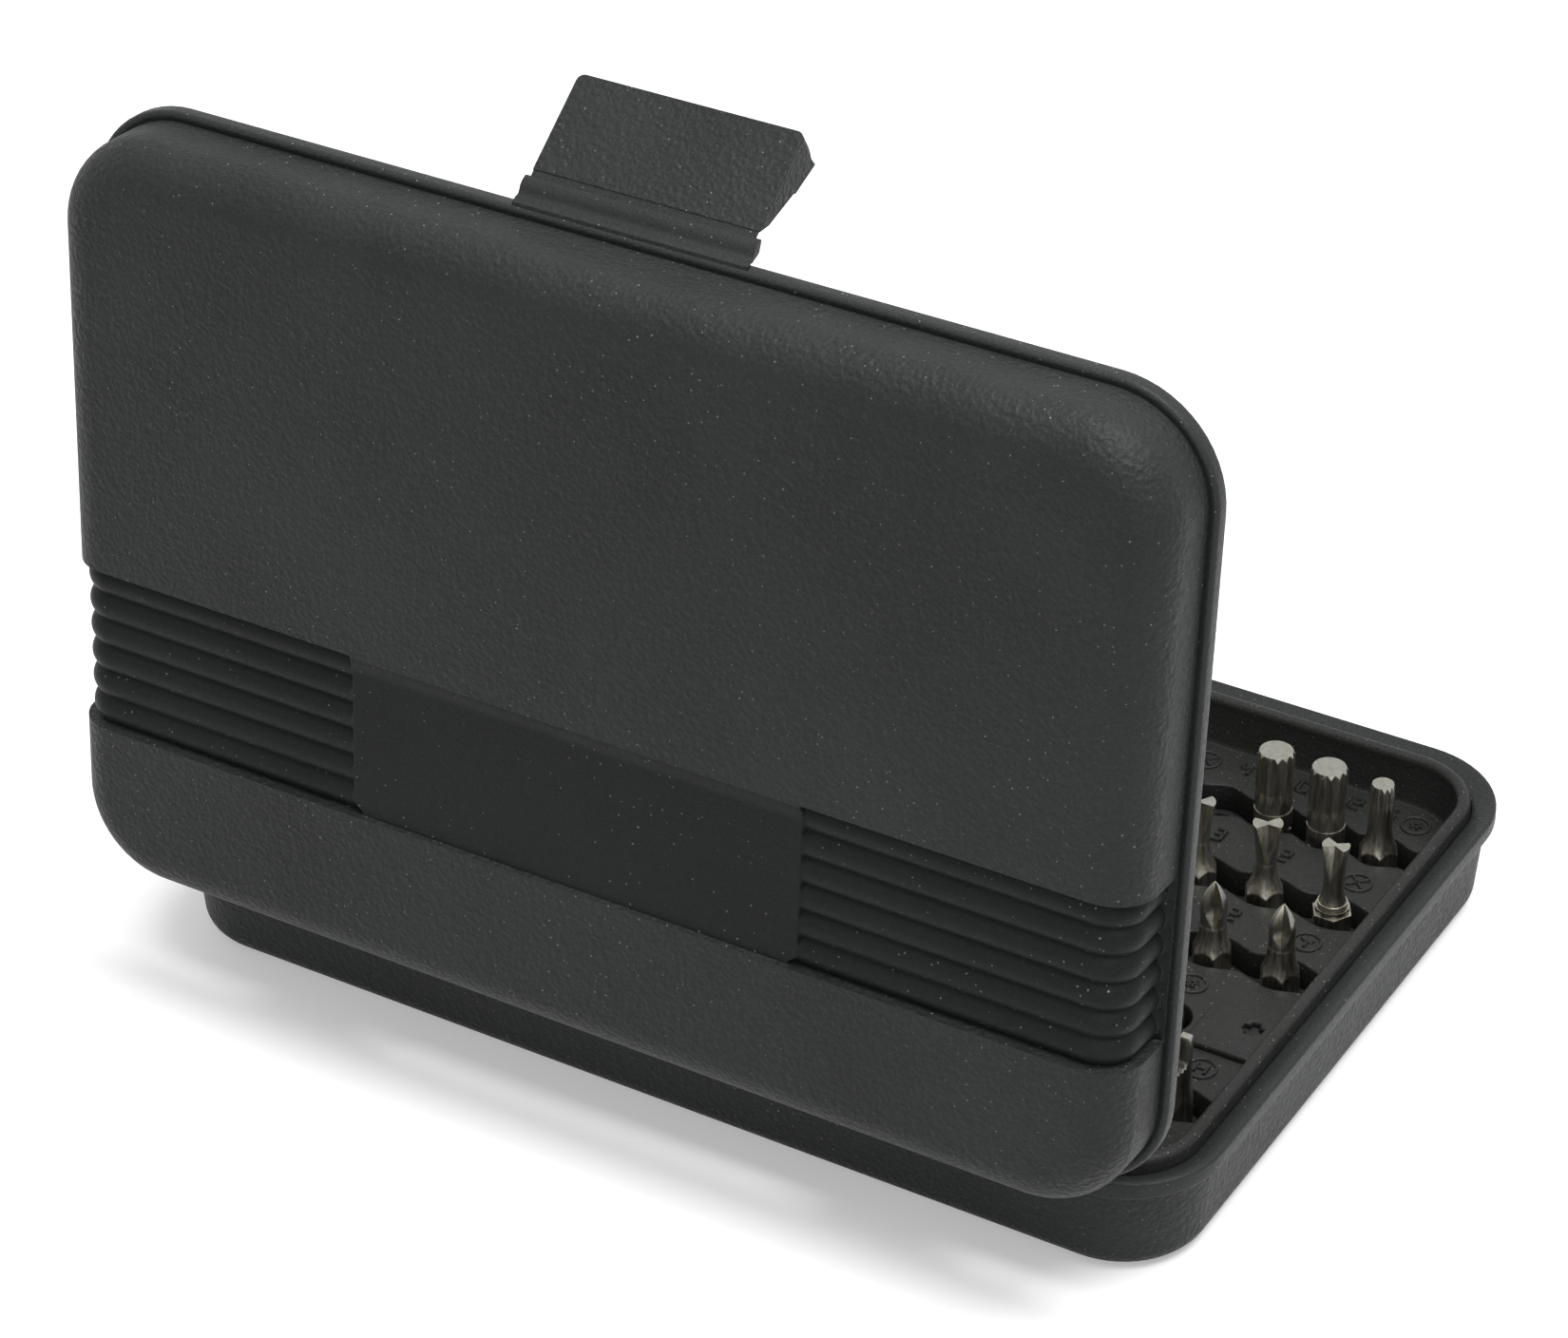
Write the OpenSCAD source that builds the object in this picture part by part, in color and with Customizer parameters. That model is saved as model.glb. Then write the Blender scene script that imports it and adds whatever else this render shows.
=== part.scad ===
// Flip case of upright quarter-inch hex screwdriver bits, shown open.
// X runs along the hinge, Y from the latch side (-) to the hinge side (+).
// Z points up and the case stands on Z = 0.

/* [Case] */
// Outside width of the rim flange
case_width = 200; // [150:0.5:260]
// Outside depth of the rim flange, latch side to hinge side
case_depth = 138.4; // [100:0.2:200]
// Plan radius of the flange corners
corner_r = 18; // [14:0.5:26]
// Height of the base rim plane above the table
base_height = 20; // [18:0.5:26]
// Height of the lid above its own rim plane
lid_height = 17; // [14:0.5:26]
// Height of the flange band round each half
band_height = 3.06; // [2:0.02:5]
// Chamfer on the outer edges of each flange band
band_chamfer = 0.4; // [0.1:0.1:0.8]
// How far the walls stand inside the flange edge
wall_inset = 1.6; // [0.6:0.02:3]
// Extra inset of the base wall at its foot
base_draft = 1.1; // [0.2:0.1:2]
// Radius of the lower edge of the base
base_edge_r = 4; // [2:0.5:6]
// Radius of the upper edge of the lid
lid_edge_r = 7.4; // [4:0.2:9]
// Thickness of the base floor
base_floor = 1.2; // [1:0.1:3]

/* [Lid] */
// Angle the lid stands open at rest
lid_open = 85.6; // [70:0.1:110]
// Thickness of the lid face
lid_skin = 2.2; // [1.6:0.1:4]
// Depth of the step in the lid edge that takes the tray bead
rebate_depth = 1.8; // [1:0.1:3]
// Distance of the rib band centre from the hinge side edge
rib_centre = 45.5; // [35:0.5:60]
// Number of grip ribs on each side of the bare panel
rib_count = 6; // [3:1:8]
// Distance between neighbouring ribs
rib_pitch = 4.85; // [3:0.05:8]
// Height of a rib above the groove floor
rib_height = 1.2; // [0.5:0.05:1.5]
// Depth of the groove floor below the lid face
groove_depth = 2.25; // [1:0.05:3]
// Half width of the bare panel between the rib groups
panel_half = 41.5; // [20:0.5:60]
// Depth of the bare panel below the lid face
panel_depth = 0.8; // [0.2:0.1:1.5]

/* [Hinge] */
// Distance of the hinge axis behind the rear flange edge
axis_back = 3.26; // [3:0.02:5]
// Height of the hinge axis above the base rim plane
axis_up = 0.755; // [0:0.005:2]
// Radius of the hinge barrels
barrel_r = 2.5; // [2:0.1:3]
// Radius of the hinge pins
pin_r = 1.1; // [0.8:0.1:1.5]
// Distance of each hinge from the middle of the case
hinge_x = 55; // [30:1:75]
// Length of each lid barrel
lid_barrel = 12; // [6:1:20]
// Length of each base barrel
base_barrel = 7; // [4:1:12]
// Gap between neighbouring barrels
barrel_gap = 0.3; // [0.2:0.05:0.6]

/* [Latch] */
// Width of the latch strip
tab_width = 41.5; // [20:0.5:60]
// How far the tab stands inside each end of the strip
tab_inset = 0.75; // [0:0.05:2]
// Length of the strip between the two bend lines of the latch
strip_length = 5.5; // [4:0.1:8]
// Length of the latch tab beyond its own bend line
tab_length = 17.7; // [15:0.1:24]
// Angle of the strip and the tab from the lid plane at rest
tab_rest = 48.7; // [20:0.1:70]
// Width of the hook inside the tab that catches under the base flange
hook_width = 24; // [10:1:36]

/* [Tray] */
// Height of the tray floor above the table
tray_top = 12; // [10:0.5:15]
// Thickness of the tray floor
tray_floor = 1.6; // [1:0.1:3]
// Radius of the bead round the tray edge
bead_r = 1.25; // [0.8:0.05:1.6]
// Distance of the bead centre inside the flange edge
bead_inset = 5.75; // [5.5:0.05:7]
// Distance of the tray wall foot inside the flange edge
tray_foot = 8.4; // [7:0.1:12]
// Depth of the trench that runs along each row
trench_depth = 5.4; // [3:0.2:8]
// Width of the trench between the bits
trench_width = 5.2; // [4:0.2:8]
// Diameter of the round widening at each bit
pocket_d = 9.4; // [8.6:0.1:10]
// Width of the rail under each row
rail_width = 13; // [11:0.5:16]

/* [Bits] */
// Size of the hex shanks across their flats
hex_flats = 6.35; // [5:0.05:8]
// Play round a shank in its socket
socket_play = 0.15; // [0.05:0.05:0.4]
// Overall length of a bit
bit_length = 25; // [22:0.5:30]
// Height of the hex part of a bit
shank_length = 11.6; // [9:0.1:16]
// Height of the cone between the hex and the driving end
neck_length = 4.6; // [1:0.1:6]
// Radius of the large spline ends
spline_r = 3.36; // [2.5:0.02:3.6]

/* [Hidden] */
$fn = 40;
half_x = case_width / 2;
half_y = case_depth / 2;
span_x = case_width - 2 * corner_r;
span_y = case_depth - 2 * corner_r;
wall_r = corner_r - wall_inset;
foot_r = wall_r - base_draft;
seam_inset = 4.25;
seam_gap = 0.1;
ledge_z = 4;
ledge_inset = 6.2;
lid_cavity_inset = 5;
lid_rebate_inset = 4.1;
over = 1;
axis_y = half_y + axis_back;
axis_z = base_height + axis_up;
pin_play = 0.06;
pin_tight = 0.02;
pin_half = lid_barrel / 2 + barrel_gap + base_barrel;
groove_flat = 0.1;
rib_r = rib_pitch * rib_pitch / (8 * rib_height) + rib_height / 2;
rib_axis = groove_depth - rib_height + rib_r;
rib_span = rib_count * rib_pitch;
rib_y = half_y - rib_centre;
lid_wall_x = half_x - wall_inset;
lid_round_x = lid_wall_x - lid_edge_r;
lid_round_z = lid_height - lid_edge_r;
bend_y = -half_y - 0.5;
bend_z = base_height + band_height - 0.5;
web_end = 1.2;
fold_half = 0.5;
bead_axis_r = corner_r - bead_inset;
ring_r = corner_r - seam_inset - seam_gap;
ring_skirt = 1.6;
ring_foot_r = corner_r - tray_foot;
// Place of each row as a share of the case depth, from its middle.
row_share = [-0.3309, -0.1814, -0.0361, 0.1098, 0.2543];
// Space left at the two ends of each row.
row_ends = [[17.8, 18.2], [17, 15.8], [17.1, 15.8], [28.7, 15.9], [17, 15.8]];
row_count = [17, 14, 14, 13, 14];
row_y = [for (share = row_share) share * case_depth];
row_first = [for (ends = row_ends) ends[0] - half_x];
row_pitch = [for (row = [0:4])
  (case_width - row_ends[row][0] - row_ends[row][1]) / (row_count[row] - 1)];
// The row that starts behind the raised pad, where the others start at the tray wall.
short_row = 3;
rail_inset = 6.4;
trench_end = half_x - tray_foot;
trench_start = [for (row = [0:4]) row == short_row ? row_first[row] : -trench_end];
rail_end = half_x - rail_inset;
rail_start = [for (row = [0:4])
  row == short_row ? row_first[row] - rail_width / 2 : -rail_end];
shank_r = hex_flats / 2 / cos(30);
socket_r = shank_r + socket_play;
trench_z = tray_top - trench_depth;
tip_z = shank_length + neck_length;
spline_start = bit_length - 11.5;
spline_collar = 4;
tip_length = bit_length - tip_z;
platform_size = [11.5, 12];
platform_pos = [16.8 - half_x, row_y[3] - 0.5];
platform_rise = 1.2;
platform_r = 3;
keyhole_pos = [platform_pos[0] - 3.1, platform_pos[1] - 2.2];
keyhole_size = [3.6, 1.6];
cradle_y = half_y - 15.6;
cradle_width = 12;
cradle_floor = 6;
cradle_x = [22 - half_x, half_x - 34];
sleeve_r = 5.5;
sleeve_length = 28;
sleeve_x = cradle_x[0] + 6;
holder_length = 60;
magnet_length = 3;
magnet_depth = 10;
lie_gap = 0.05;
adapter_x = cradle_x[1] - 54;
adapter_hex = 25;
adapter_collar_r = 4.6;
adapter_collar = 4;
adapter_square = 8;
ball_r = 1.2;
plastic = [0.15, 0.16, 0.155];
plastic_tray = [0.12, 0.125, 0.12];
steel = [0.55, 0.53, 0.5];
steel_dark = [0.3, 0.3, 0.31];

// Rounded rectangle in plan, reduced all round by an inset.
module plan(inset) {
  r = corner_r - inset;
  square([case_width - 2 * inset, span_y], center = true);
  square([span_x, case_depth - 2 * inset], center = true);
  for (x = [-1, 1]) {
    for (y = [-1, 1]) {
      translate([x * span_x / 2, y * span_y / 2]) {
        circle(r);
      }
    }
  }
}

// Carries a profile, drawn outwards from the corner centres, round the case.
module round_case() {
  for (turn = [0, 1]) {
    rotate([0, 0, 180 * turn]) {
      translate([span_x / 2, span_y / 2, 0]) {
        rotate_extrude(angle = 90) {
          children();
        }
      }
      translate([-span_x / 2, span_y / 2, 0]) {
        rotate([0, 0, 90]) {
          rotate_extrude(angle = 90) {
            children();
          }
        }
      }
      translate([span_x / 2, span_y / 2, 0]) {
        rotate([90, 0, 0]) {
          linear_extrude(span_y) {
            children();
          }
        }
      }
      translate([-span_x / 2, span_y / 2, 0]) {
        rotate([90, 0, 90]) {
          linear_extrude(span_x) {
            children();
          }
        }
      }
    }
  }
}

module core(low, high) {
  translate([-span_x / 2, -span_y / 2, low]) {
    cube([span_x, span_y, high - low]);
  }
}

module band_profile() {
  c = band_chamfer;
  polygon([[0, 0], [corner_r - c, 0], [corner_r, c],
    [corner_r, band_height - c], [corner_r - c, band_height], [0, band_height]]);
}

module base_profile() {
  translate([0, base_height - band_height]) {
    band_profile();
  }
  polygon([[0, base_edge_r], [foot_r, base_edge_r],
    [wall_r, base_height - band_height + 0.1],
    [0, base_height - band_height + 0.1]]);
  square([foot_r - base_edge_r, base_edge_r + 0.1]);
  translate([foot_r - base_edge_r, base_edge_r]) {
    circle(base_edge_r);
  }
}

module lid_profile() {
  band_profile();
  square([wall_r, lid_round_z]);
  square([wall_r - lid_edge_r, lid_height]);
  translate([wall_r - lid_edge_r, lid_round_z]) {
    circle(lid_edge_r);
  }
}

// Puts things drawn on the closed lid where the open lid holds them.
module lid_pose() {
  translate([0, axis_y, axis_z]) {
    rotate([-lid_open, 0, 0]) {
      translate([0, -axis_y, -axis_z]) {
        children();
      }
    }
  }
}

module along_x(length) {
  rotate([90, 0, 90]) {
    linear_extrude(length, center = true) {
      children();
    }
  }
}

module barrel(r, length) {
  translate([0, axis_y, axis_z]) {
    rotate([0, 90, 0]) {
      cylinder(h = length, r = r, center = true);
    }
  }
}

module base_hinges() {
  step = lid_barrel / 2 + barrel_gap + base_barrel / 2;
  for (x = [-hinge_x - step, -hinge_x + step, hinge_x - step, hinge_x + step]) {
    translate([x, 0, 0]) {
      barrel(barrel_r, base_barrel);
      along_x(base_barrel) {
        polygon([[half_y - 0.5, base_height - 2.6],
          [half_y - 0.5, base_height - 0.5],
          [half_y, base_height - 0.2],
          [axis_y, base_height - 0.2],
          [axis_y, axis_z - barrel_r],
          [axis_y - 1.8, base_height - 2.6]]);
      }
    }
  }
}

module base_shell() {
  color(plastic) {
    difference() {
      union() {
        round_case() {
          intersection() {
            base_profile();
            square([corner_r, base_height]);
          }
        }
        core(0, base_height);
        base_hinges();
      }
      translate([0, 0, ledge_z]) {
        linear_extrude(base_height) {
          plan(seam_inset);
        }
      }
      translate([0, 0, base_floor]) {
        linear_extrude(base_height) {
          plan(ledge_inset);
        }
      }
      for (x = [-hinge_x, hinge_x]) {
        translate([x, 0, 0]) {
          barrel(pin_r + pin_tight, 2 * pin_half + over);
        }
      }
    }
  }
}

module hinge_pins() {
  color(steel_dark) {
    for (x = [-hinge_x, hinge_x]) {
      translate([x, 0, 0]) {
        barrel(pin_r, 2 * pin_half);
      }
    }
  }
}

module tray_ring_profile() {
  polygon([[ring_foot_r, tray_top - tray_floor], [ring_foot_r, tray_top],
    [bead_axis_r - bead_r + 0.12, base_height],
    [bead_axis_r + bead_r - 0.15, base_height],
    [ring_r, base_height - 0.8], [ring_r, ledge_z],
    [ring_r - ring_skirt, ledge_z],
    [ring_r - ring_skirt, tray_top - tray_floor]]);
  translate([bead_axis_r, base_height]) {
    circle(bead_r);
  }
}

module row_pockets() {
  for (row = [0:len(row_y) - 1]) {
    translate([trench_start[row], row_y[row] - trench_width / 2]) {
      square([trench_end - trench_start[row], trench_width]);
    }
    for (i = [0:row_count[row] - 1]) {
      translate([row_first[row] + i * row_pitch[row], row_y[row]]) {
        circle(d = pocket_d, $fn = 20);
      }
    }
  }
}

module row_sockets() {
  for (row = [0:len(row_y) - 1]) {
    for (i = [0:row_count[row] - 1]) {
      translate([row_first[row] + i * row_pitch[row], row_y[row]]) {
        circle(socket_r, $fn = 6);
      }
    }
  }
}

module platform() {
  translate([platform_pos[0], platform_pos[1], tray_top - tray_floor / 2]) {
    linear_extrude(tray_floor / 2 + platform_rise) {
      square([platform_size[0] - 2 * platform_r, platform_size[1]], center = true);
      square([platform_size[0], platform_size[1] - 2 * platform_r], center = true);
      for (x = [-1, 1]) {
        for (y = [-1, 1]) {
          translate([x * (platform_size[0] / 2 - platform_r),
            y * (platform_size[1] / 2 - platform_r)]) {
            circle(platform_r, $fn = 20);
          }
        }
      }
    }
  }
}

module keyhole() {
  translate([keyhole_pos[0], keyhole_pos[1], tray_top - tray_floor - over]) {
    linear_extrude(tray_floor + platform_rise + 2 * over) {
      square(keyhole_size, center = true);
      square([keyhole_size[1], keyhole_size[0]], center = true);
    }
  }
}

module tray_insert() {
  color(plastic_tray) {
    difference() {
      union() {
        round_case() {
          tray_ring_profile();
        }
        translate([0, 0, tray_top - tray_floor]) {
          linear_extrude(tray_floor) {
            plan(tray_foot);
          }
        }
        for (row = [0:4]) {
          translate([rail_start[row], row_y[row] - rail_width / 2, base_floor]) {
            cube([rail_end - rail_start[row], rail_width,
              tray_top - tray_floor / 2 - base_floor]);
          }
        }
        translate([cradle_x[0] - 2, cradle_y - cradle_width / 2 - 1.4, base_floor]) {
          cube([cradle_x[1] - cradle_x[0] + 4, cradle_width + 2.8,
            tray_top - tray_floor / 2 - base_floor]);
        }
        platform();
      }
      translate([0, 0, trench_z]) {
        linear_extrude(trench_depth + over) {
          row_pockets();
        }
      }
      translate([0, 0, base_floor - over]) {
        linear_extrude(trench_z - base_floor + 2 * over) {
          row_sockets();
        }
      }
      translate([cradle_x[0], cradle_y - cradle_width / 2, cradle_floor]) {
        cube([cradle_x[1] - cradle_x[0], cradle_width, tray_top]);
      }
      keyhole();
    }
  }
}

// Cross-section of the cut that leaves convex ribs, height measured from the lid face.
module rib_cut() {
  difference() {
    translate([-groove_depth + groove_flat, -rib_span / 2]) {
      square([groove_depth + over, rib_span]);
    }
    for (i = [0:rib_count - 1]) {
      translate([-rib_axis, (i + 0.5 - rib_count / 2) * rib_pitch]) {
        circle(rib_r);
      }
    }
  }
}

module rib_band() {
  flat = lid_round_x - panel_half;
  drop = lid_round_z - band_height;
  translate([0, rib_y, base_height]) {
    translate([panel_half, 0, lid_height]) {
      rotate([0, -90, 180]) {
        linear_extrude(flat) {
          rib_cut();
        }
      }
    }
    translate([lid_round_x, 0, lid_round_z]) {
      rotate([90, 0, 0]) {
        rotate_extrude(angle = 90) {
          translate([lid_edge_r, 0]) {
            rib_cut();
          }
        }
      }
    }
    translate([lid_wall_x, 0, band_height]) {
      linear_extrude(drop) {
        rib_cut();
      }
    }
  }
}

module lid_hinges() {
  for (x = [-hinge_x, hinge_x]) {
    translate([x, 0, 0]) {
      barrel(barrel_r, lid_barrel);
      along_x(lid_barrel) {
        polygon([[half_y - 0.5, base_height + 0.5],
          [half_y - 0.5, base_height + band_height - 0.6],
          [axis_y, axis_z + barrel_r],
          [axis_y + 0.9, axis_z],
          [axis_y + 2.95, axis_z - 0.3],
          [axis_y + 2.7, axis_z - 3.35],
          [axis_y + 0.7, axis_z - 3.2],
          [axis_y, axis_z - 0.2],
          [half_y, base_height + 0.3]]);
      }
    }
  }
}

module lid_shell() {
  color(plastic) {
    lid_pose() {
      difference() {
        union() {
          translate([0, 0, base_height]) {
            round_case() {
              intersection() {
                lid_profile();
                square([corner_r, lid_height]);
              }
            }
            core(0, lid_height);
          }
          lid_hinges();
        }
        rib_band();
        mirror([1, 0, 0]) {
          rib_band();
        }
        translate([-panel_half, rib_y - rib_span / 2,
          base_height + lid_height - panel_depth]) {
          cube([2 * panel_half, rib_span, panel_depth + over]);
        }
        translate([0, 0, base_height - over]) {
          linear_extrude(rebate_depth + over) {
            plan(lid_rebate_inset);
          }
        }
        difference() {
          translate([0, 0, base_height]) {
            linear_extrude(lid_height - lid_skin) {
              plan(lid_cavity_inset);
            }
          }
          translate([-half_x, rib_y - rib_span / 2 - 2,
            base_height + lid_height - lid_skin - groove_depth + 0.4]) {
            cube([case_width, rib_span + 4, lid_height]);
          }
          for (x = [-half_x, half_x - lid_cavity_inset - 1.5]) {
            translate([x, rib_y - rib_span / 2 - 2, base_height + lid_round_z - 1.6]) {
              cube([lid_cavity_inset + 1.5, rib_span + 4, lid_height]);
            }
          }
        }
        for (x = [-hinge_x, hinge_x]) {
          translate([x, 0, 0]) {
            barrel(pin_r + pin_play, lid_barrel + over);
          }
        }
      }
    }
  }
}

// Draws along the latch: first coordinate from the root bend to the tip, second the depth.
module latch_pose() {
  lid_pose() {
    translate([0, bend_y, bend_z]) {
      rotate([tab_rest - 180, 0, 0]) {
        children();
      }
    }
  }
}

module latch_tab() {
  color(plastic) {
    latch_pose() {
      translate([0, strip_length, 0]) {
        along_x(tab_width - 2 * tab_inset) {
          polygon([[fold_half, 0], [tab_length, 0], [tab_length - 0.3, 2.6],
            [tab_length - 1.8, 5.2], [tab_length - 1.6, 7.2],
            [tab_length - 2.4, 7], [9.9, 5.5], [9.6, 5], [2.6, 2.2],
            [fold_half, 0.5]]);
        }
        along_x(hook_width) {
          polygon([[4.95, 2.5], [4.95, 6.6], [5.6, 6.8], [7.6, 4.9], [7.6, 3.5]]);
        }
      }
    }
  }
}

module latch_strip() {
  color(plastic) {
    latch_pose() {
      along_x(tab_width) {
        polygon([[web_end, 0], [strip_length - fold_half, 0],
          [strip_length - fold_half, 0.5], [strip_length - 2, 1.5], [3, 1.5],
          [web_end, 0.8]]);
      }
    }
  }
}

module latch_fold() {
  color(plastic) {
    latch_pose() {
      translate([0, strip_length, 0]) {
        along_x(tab_width) {
          polygon([[-fold_half, 0], [0, 0.12], [fold_half, 0], [fold_half, 0.5],
            [-fold_half, 0.5]]);
        }
      }
    }
  }
}

function latch_point(along, deep) = [
  bend_y - along * cos(tab_rest) + deep * sin(tab_rest),
  bend_z - along * sin(tab_rest) - deep * cos(tab_rest)];

module latch_web() {
  color(plastic) {
    lid_pose() {
      along_x(tab_width) {
        polygon([[-half_y, bend_z], latch_point(0.4, 0), latch_point(web_end, 0),
          latch_point(web_end, 0.7), [-half_y, bend_z - 0.75]]);
      }
    }
  }
}

module shank(length) {
  cylinder(h = length, r = shank_r, $fn = 6);
}

module neck(top_r) {
  translate([0, 0, shank_length]) {
    cylinder(h = neck_length, r1 = hex_flats / 2, r2 = top_r, $fn = 20);
  }
}

module tip() {
  translate([0, 0, tip_z - 0.01]) {
    linear_extrude(tip_length + 0.01) {
      children();
    }
  }
}

module star_plan(points, outer, inner) {
  polygon([for (i = [0:2 * points - 1])
    (i % 2 == 0 ? outer : inner) * [cos(180 * i / points), sin(180 * i / points)]]);
}

module bit_row(row, first, last, hex = shank_length) {
  for (i = [first:last]) {
    translate([row_first[row] + i * row_pitch[row], row_y[row], base_floor]) {
      shank(hex);
      children();
    }
  }
}

module spline_end(outer) {
  translate([0, 0, shank_length - 0.6]) {
    cylinder(h = neck_length + 0.6, r1 = hex_flats / 2, r2 = outer);
  }
  tip() {
    star_plan(12, outer, outer * 0.87);
  }
}

// Twelve splines as wide as the shank, standing on a plain round collar.
module spline_wide() {
  translate([0, 0, spline_start - spline_collar]) {
    cylinder(h = spline_collar, r = spline_r + 0.05);
  }
  translate([0, 0, spline_start - 0.01]) {
    linear_extrude(bit_length - spline_start - 0.59) {
      star_plan(12, spline_r, spline_r * 0.87);
    }
  }
  translate([0, 0, bit_length - 0.61]) {
    cylinder(h = 0.61, r1 = spline_r * 0.94, r2 = spline_r * 0.9);
  }
}

module clutch_end() {
  neck(2.7);
  tip() {
    polygon([[-2.7, -1.5], [-0.9, -0.9], [0.9, -0.9], [2.7, -1.5],
      [2.7, 1.5], [0.9, 0.9], [-0.9, 0.9], [-2.7, 1.5]]);
  }
}

module star_end(outer, bored) {
  neck(outer);
  tip() {
    difference() {
      star_plan(6, outer, outer * 0.74);
      if (bored) {
        circle(outer * 0.3, $fn = 8);
      }
    }
  }
}

module square_end() {
  neck(2.2);
  tip() {
    square(3.2, center = true);
  }
}

module spanner_end() {
  neck(2.8);
  translate([0, 0, tip_z - 0.01]) {
    difference() {
      translate([-3, -0.8, 0]) {
        cube([6, 1.6, tip_length + 0.01]);
      }
      translate([-0.8, -1, tip_length - 2.4]) {
        cube([1.6, 2, 3]);
      }
    }
  }
}

module slotted_end() {
  neck(2.6);
  tip() {
    square([5.2, 1], center = true);
  }
}

module three_wing_end() {
  neck(2.4);
  wing_end(3, 0);
}

// Wings round a pointed centre, each set aside by the offset.
module wing_end(wings, aside) {
  translate([0, 0, tip_z - 0.01]) {
    intersection() {
      linear_extrude(tip_length) {
        for (i = [0:wings - 1]) {
          rotate(360 * i / wings) {
            translate([0, aside - 0.45]) {
              square([4, 0.9]);
            }
          }
        }
        circle(0.9, $fn = 8);
      }
      union() {
        cylinder(h = tip_length - 3.2, r = 2.6, $fn = 20);
        translate([0, 0, tip_length - 3.2]) {
          cylinder(h = 3.2, r1 = 2.6, r2 = 0.8, $fn = 20);
        }
      }
    }
  }
}

module hex_end(bored) {
  neck(2.7);
  tip() {
    difference() {
      circle(2.5, $fn = 6);
      if (bored) {
        circle(0.9, $fn = 8);
      }
    }
  }
}

module bit_spline_small() {
  color(steel) {
    bit_row(0, 0, 0) {
      spline_end(2.2);
    }
  }
}

module bit_spline_large() {
  color(steel) {
    bit_row(0, 1, 1, spline_start - spline_collar + 0.01) {
      spline_wide();
    }
  }
}

module bit_spline_medium() {
  color(steel) {
    bit_row(0, 2, 2, spline_start - spline_collar + 0.01) {
      spline_wide();
    }
  }
}

module bits_spline_hidden() {
  color(steel) {
    bit_row(0, 4, 5) {
      spline_end(3);
    }
  }
}

module bits_star_bored() {
  color(steel) {
    bit_row(0, 6, 10) {
      star_end(2.2, true);
    }
  }
}

module bits_star_bored_large() {
  color(steel) {
    bit_row(0, 11, 16) {
      star_end(3, true);
    }
  }
}

module bit_clutch_right() {
  color(steel) {
    bit_row(1, 0, 0) {
      clutch_end();
    }
  }
}

module bit_clutch_middle() {
  color(steel) {
    bit_row(1, 1, 1) {
      clutch_end();
    }
  }
}

module bit_clutch_left() {
  color(steel) {
    bit_row(1, 2, 2) {
      clutch_end();
    }
  }
}

module bits_square() {
  color(steel) {
    bit_row(1, 3, 7) {
      square_end();
    }
  }
}

module bits_spanner() {
  color(steel) {
    bit_row(1, 8, 13) {
      spanner_end();
    }
  }
}

module bit_three_wing_right() {
  color(steel) {
    bit_row(2, 0, 0) {
      three_wing_end();
    }
  }
}

module bit_three_wing_left() {
  color(steel) {
    bit_row(2, 1, 1) {
      three_wing_end();
    }
  }
}

module bits_three_wing() {
  color(steel) {
    bit_row(2, 2, 5) {
      three_wing_end();
    }
  }
}

module bits_offset_cross() {
  color(steel) {
    bit_row(2, 6, 9) {
      neck(2.4);
      wing_end(4, 0.6);
    }
  }
}

module bits_cross() {
  color(steel) {
    bit_row(2, 10, 13) {
      neck(2.4);
      wing_end(4, 0);
    }
  }
}

module bits_hex_bored() {
  color(steel) {
    bit_row(3, 0, 5) {
      hex_end(true);
    }
  }
}

module bits_hex() {
  color(steel) {
    bit_row(3, 6, 12) {
      hex_end(false);
    }
  }
}

module bit_spanner_right() {
  color(steel) {
    bit_row(4, 0, 0) {
      spanner_end();
    }
  }
}

module bits_star() {
  color(steel) {
    bit_row(4, 1, 6) {
      star_end(2.6, false);
    }
  }
}

module bits_slotted() {
  color(steel) {
    bit_row(4, 7, 13) {
      slotted_end();
    }
  }
}

// Places the bit holder or adapter, drawn along Z, on its side in the cradle.
module lying(start, r) {
  translate([start, cradle_y, cradle_floor + lie_gap + r]) {
    rotate([0, 90, 0]) {
      children();
    }
  }
}

module holder_sleeve() {
  color(steel) {
    lying(sleeve_x, sleeve_r) {
      difference() {
        cylinder(h = sleeve_length, r = sleeve_r);
        translate([0, 0, -over]) {
          cylinder(h = sleeve_length + 2 * over, r = shank_r + socket_play, $fn = 6);
        }
      }
    }
  }
}

module holder_shank() {
  color(steel) {
    lying(sleeve_x, sleeve_r) {
      translate([0, 0, magnet_depth + magnet_length]) {
        difference() {
          cylinder(h = holder_length - magnet_depth - magnet_length,
            r = shank_r + socket_play - pin_tight, $fn = 6);
          translate([0, 0, holder_length - magnet_depth - magnet_length - 9]) {
            rotate_extrude() {
              translate([shank_r + 0.6, 0]) {
                circle(1.6, $fn = 20);
              }
            }
          }
        }
      }
    }
  }
}

module holder_magnet() {
  color(steel_dark) {
    lying(sleeve_x, sleeve_r) {
      translate([0, 0, magnet_depth]) {
        cylinder(h = magnet_length, r = hex_flats / 2);
      }
    }
  }
}

module adapter_body() {
  color(steel) {
    lying(adapter_x, adapter_collar_r) {
      difference() {
        union() {
          cylinder(h = adapter_hex, r = shank_r, $fn = 6);
          translate([0, 0, adapter_hex - 0.01]) {
            cylinder(h = adapter_collar, r = adapter_collar_r);
          }
          translate([-hex_flats / 2, -hex_flats / 2, adapter_hex + adapter_collar - 0.02]) {
            cube([hex_flats, hex_flats, adapter_square]);
          }
        }
        translate([-hex_flats / 2, 0, adapter_hex + adapter_collar + adapter_square / 2]) {
          sphere(ball_r + pin_tight, $fn = 24);
        }
      }
    }
  }
}

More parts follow.
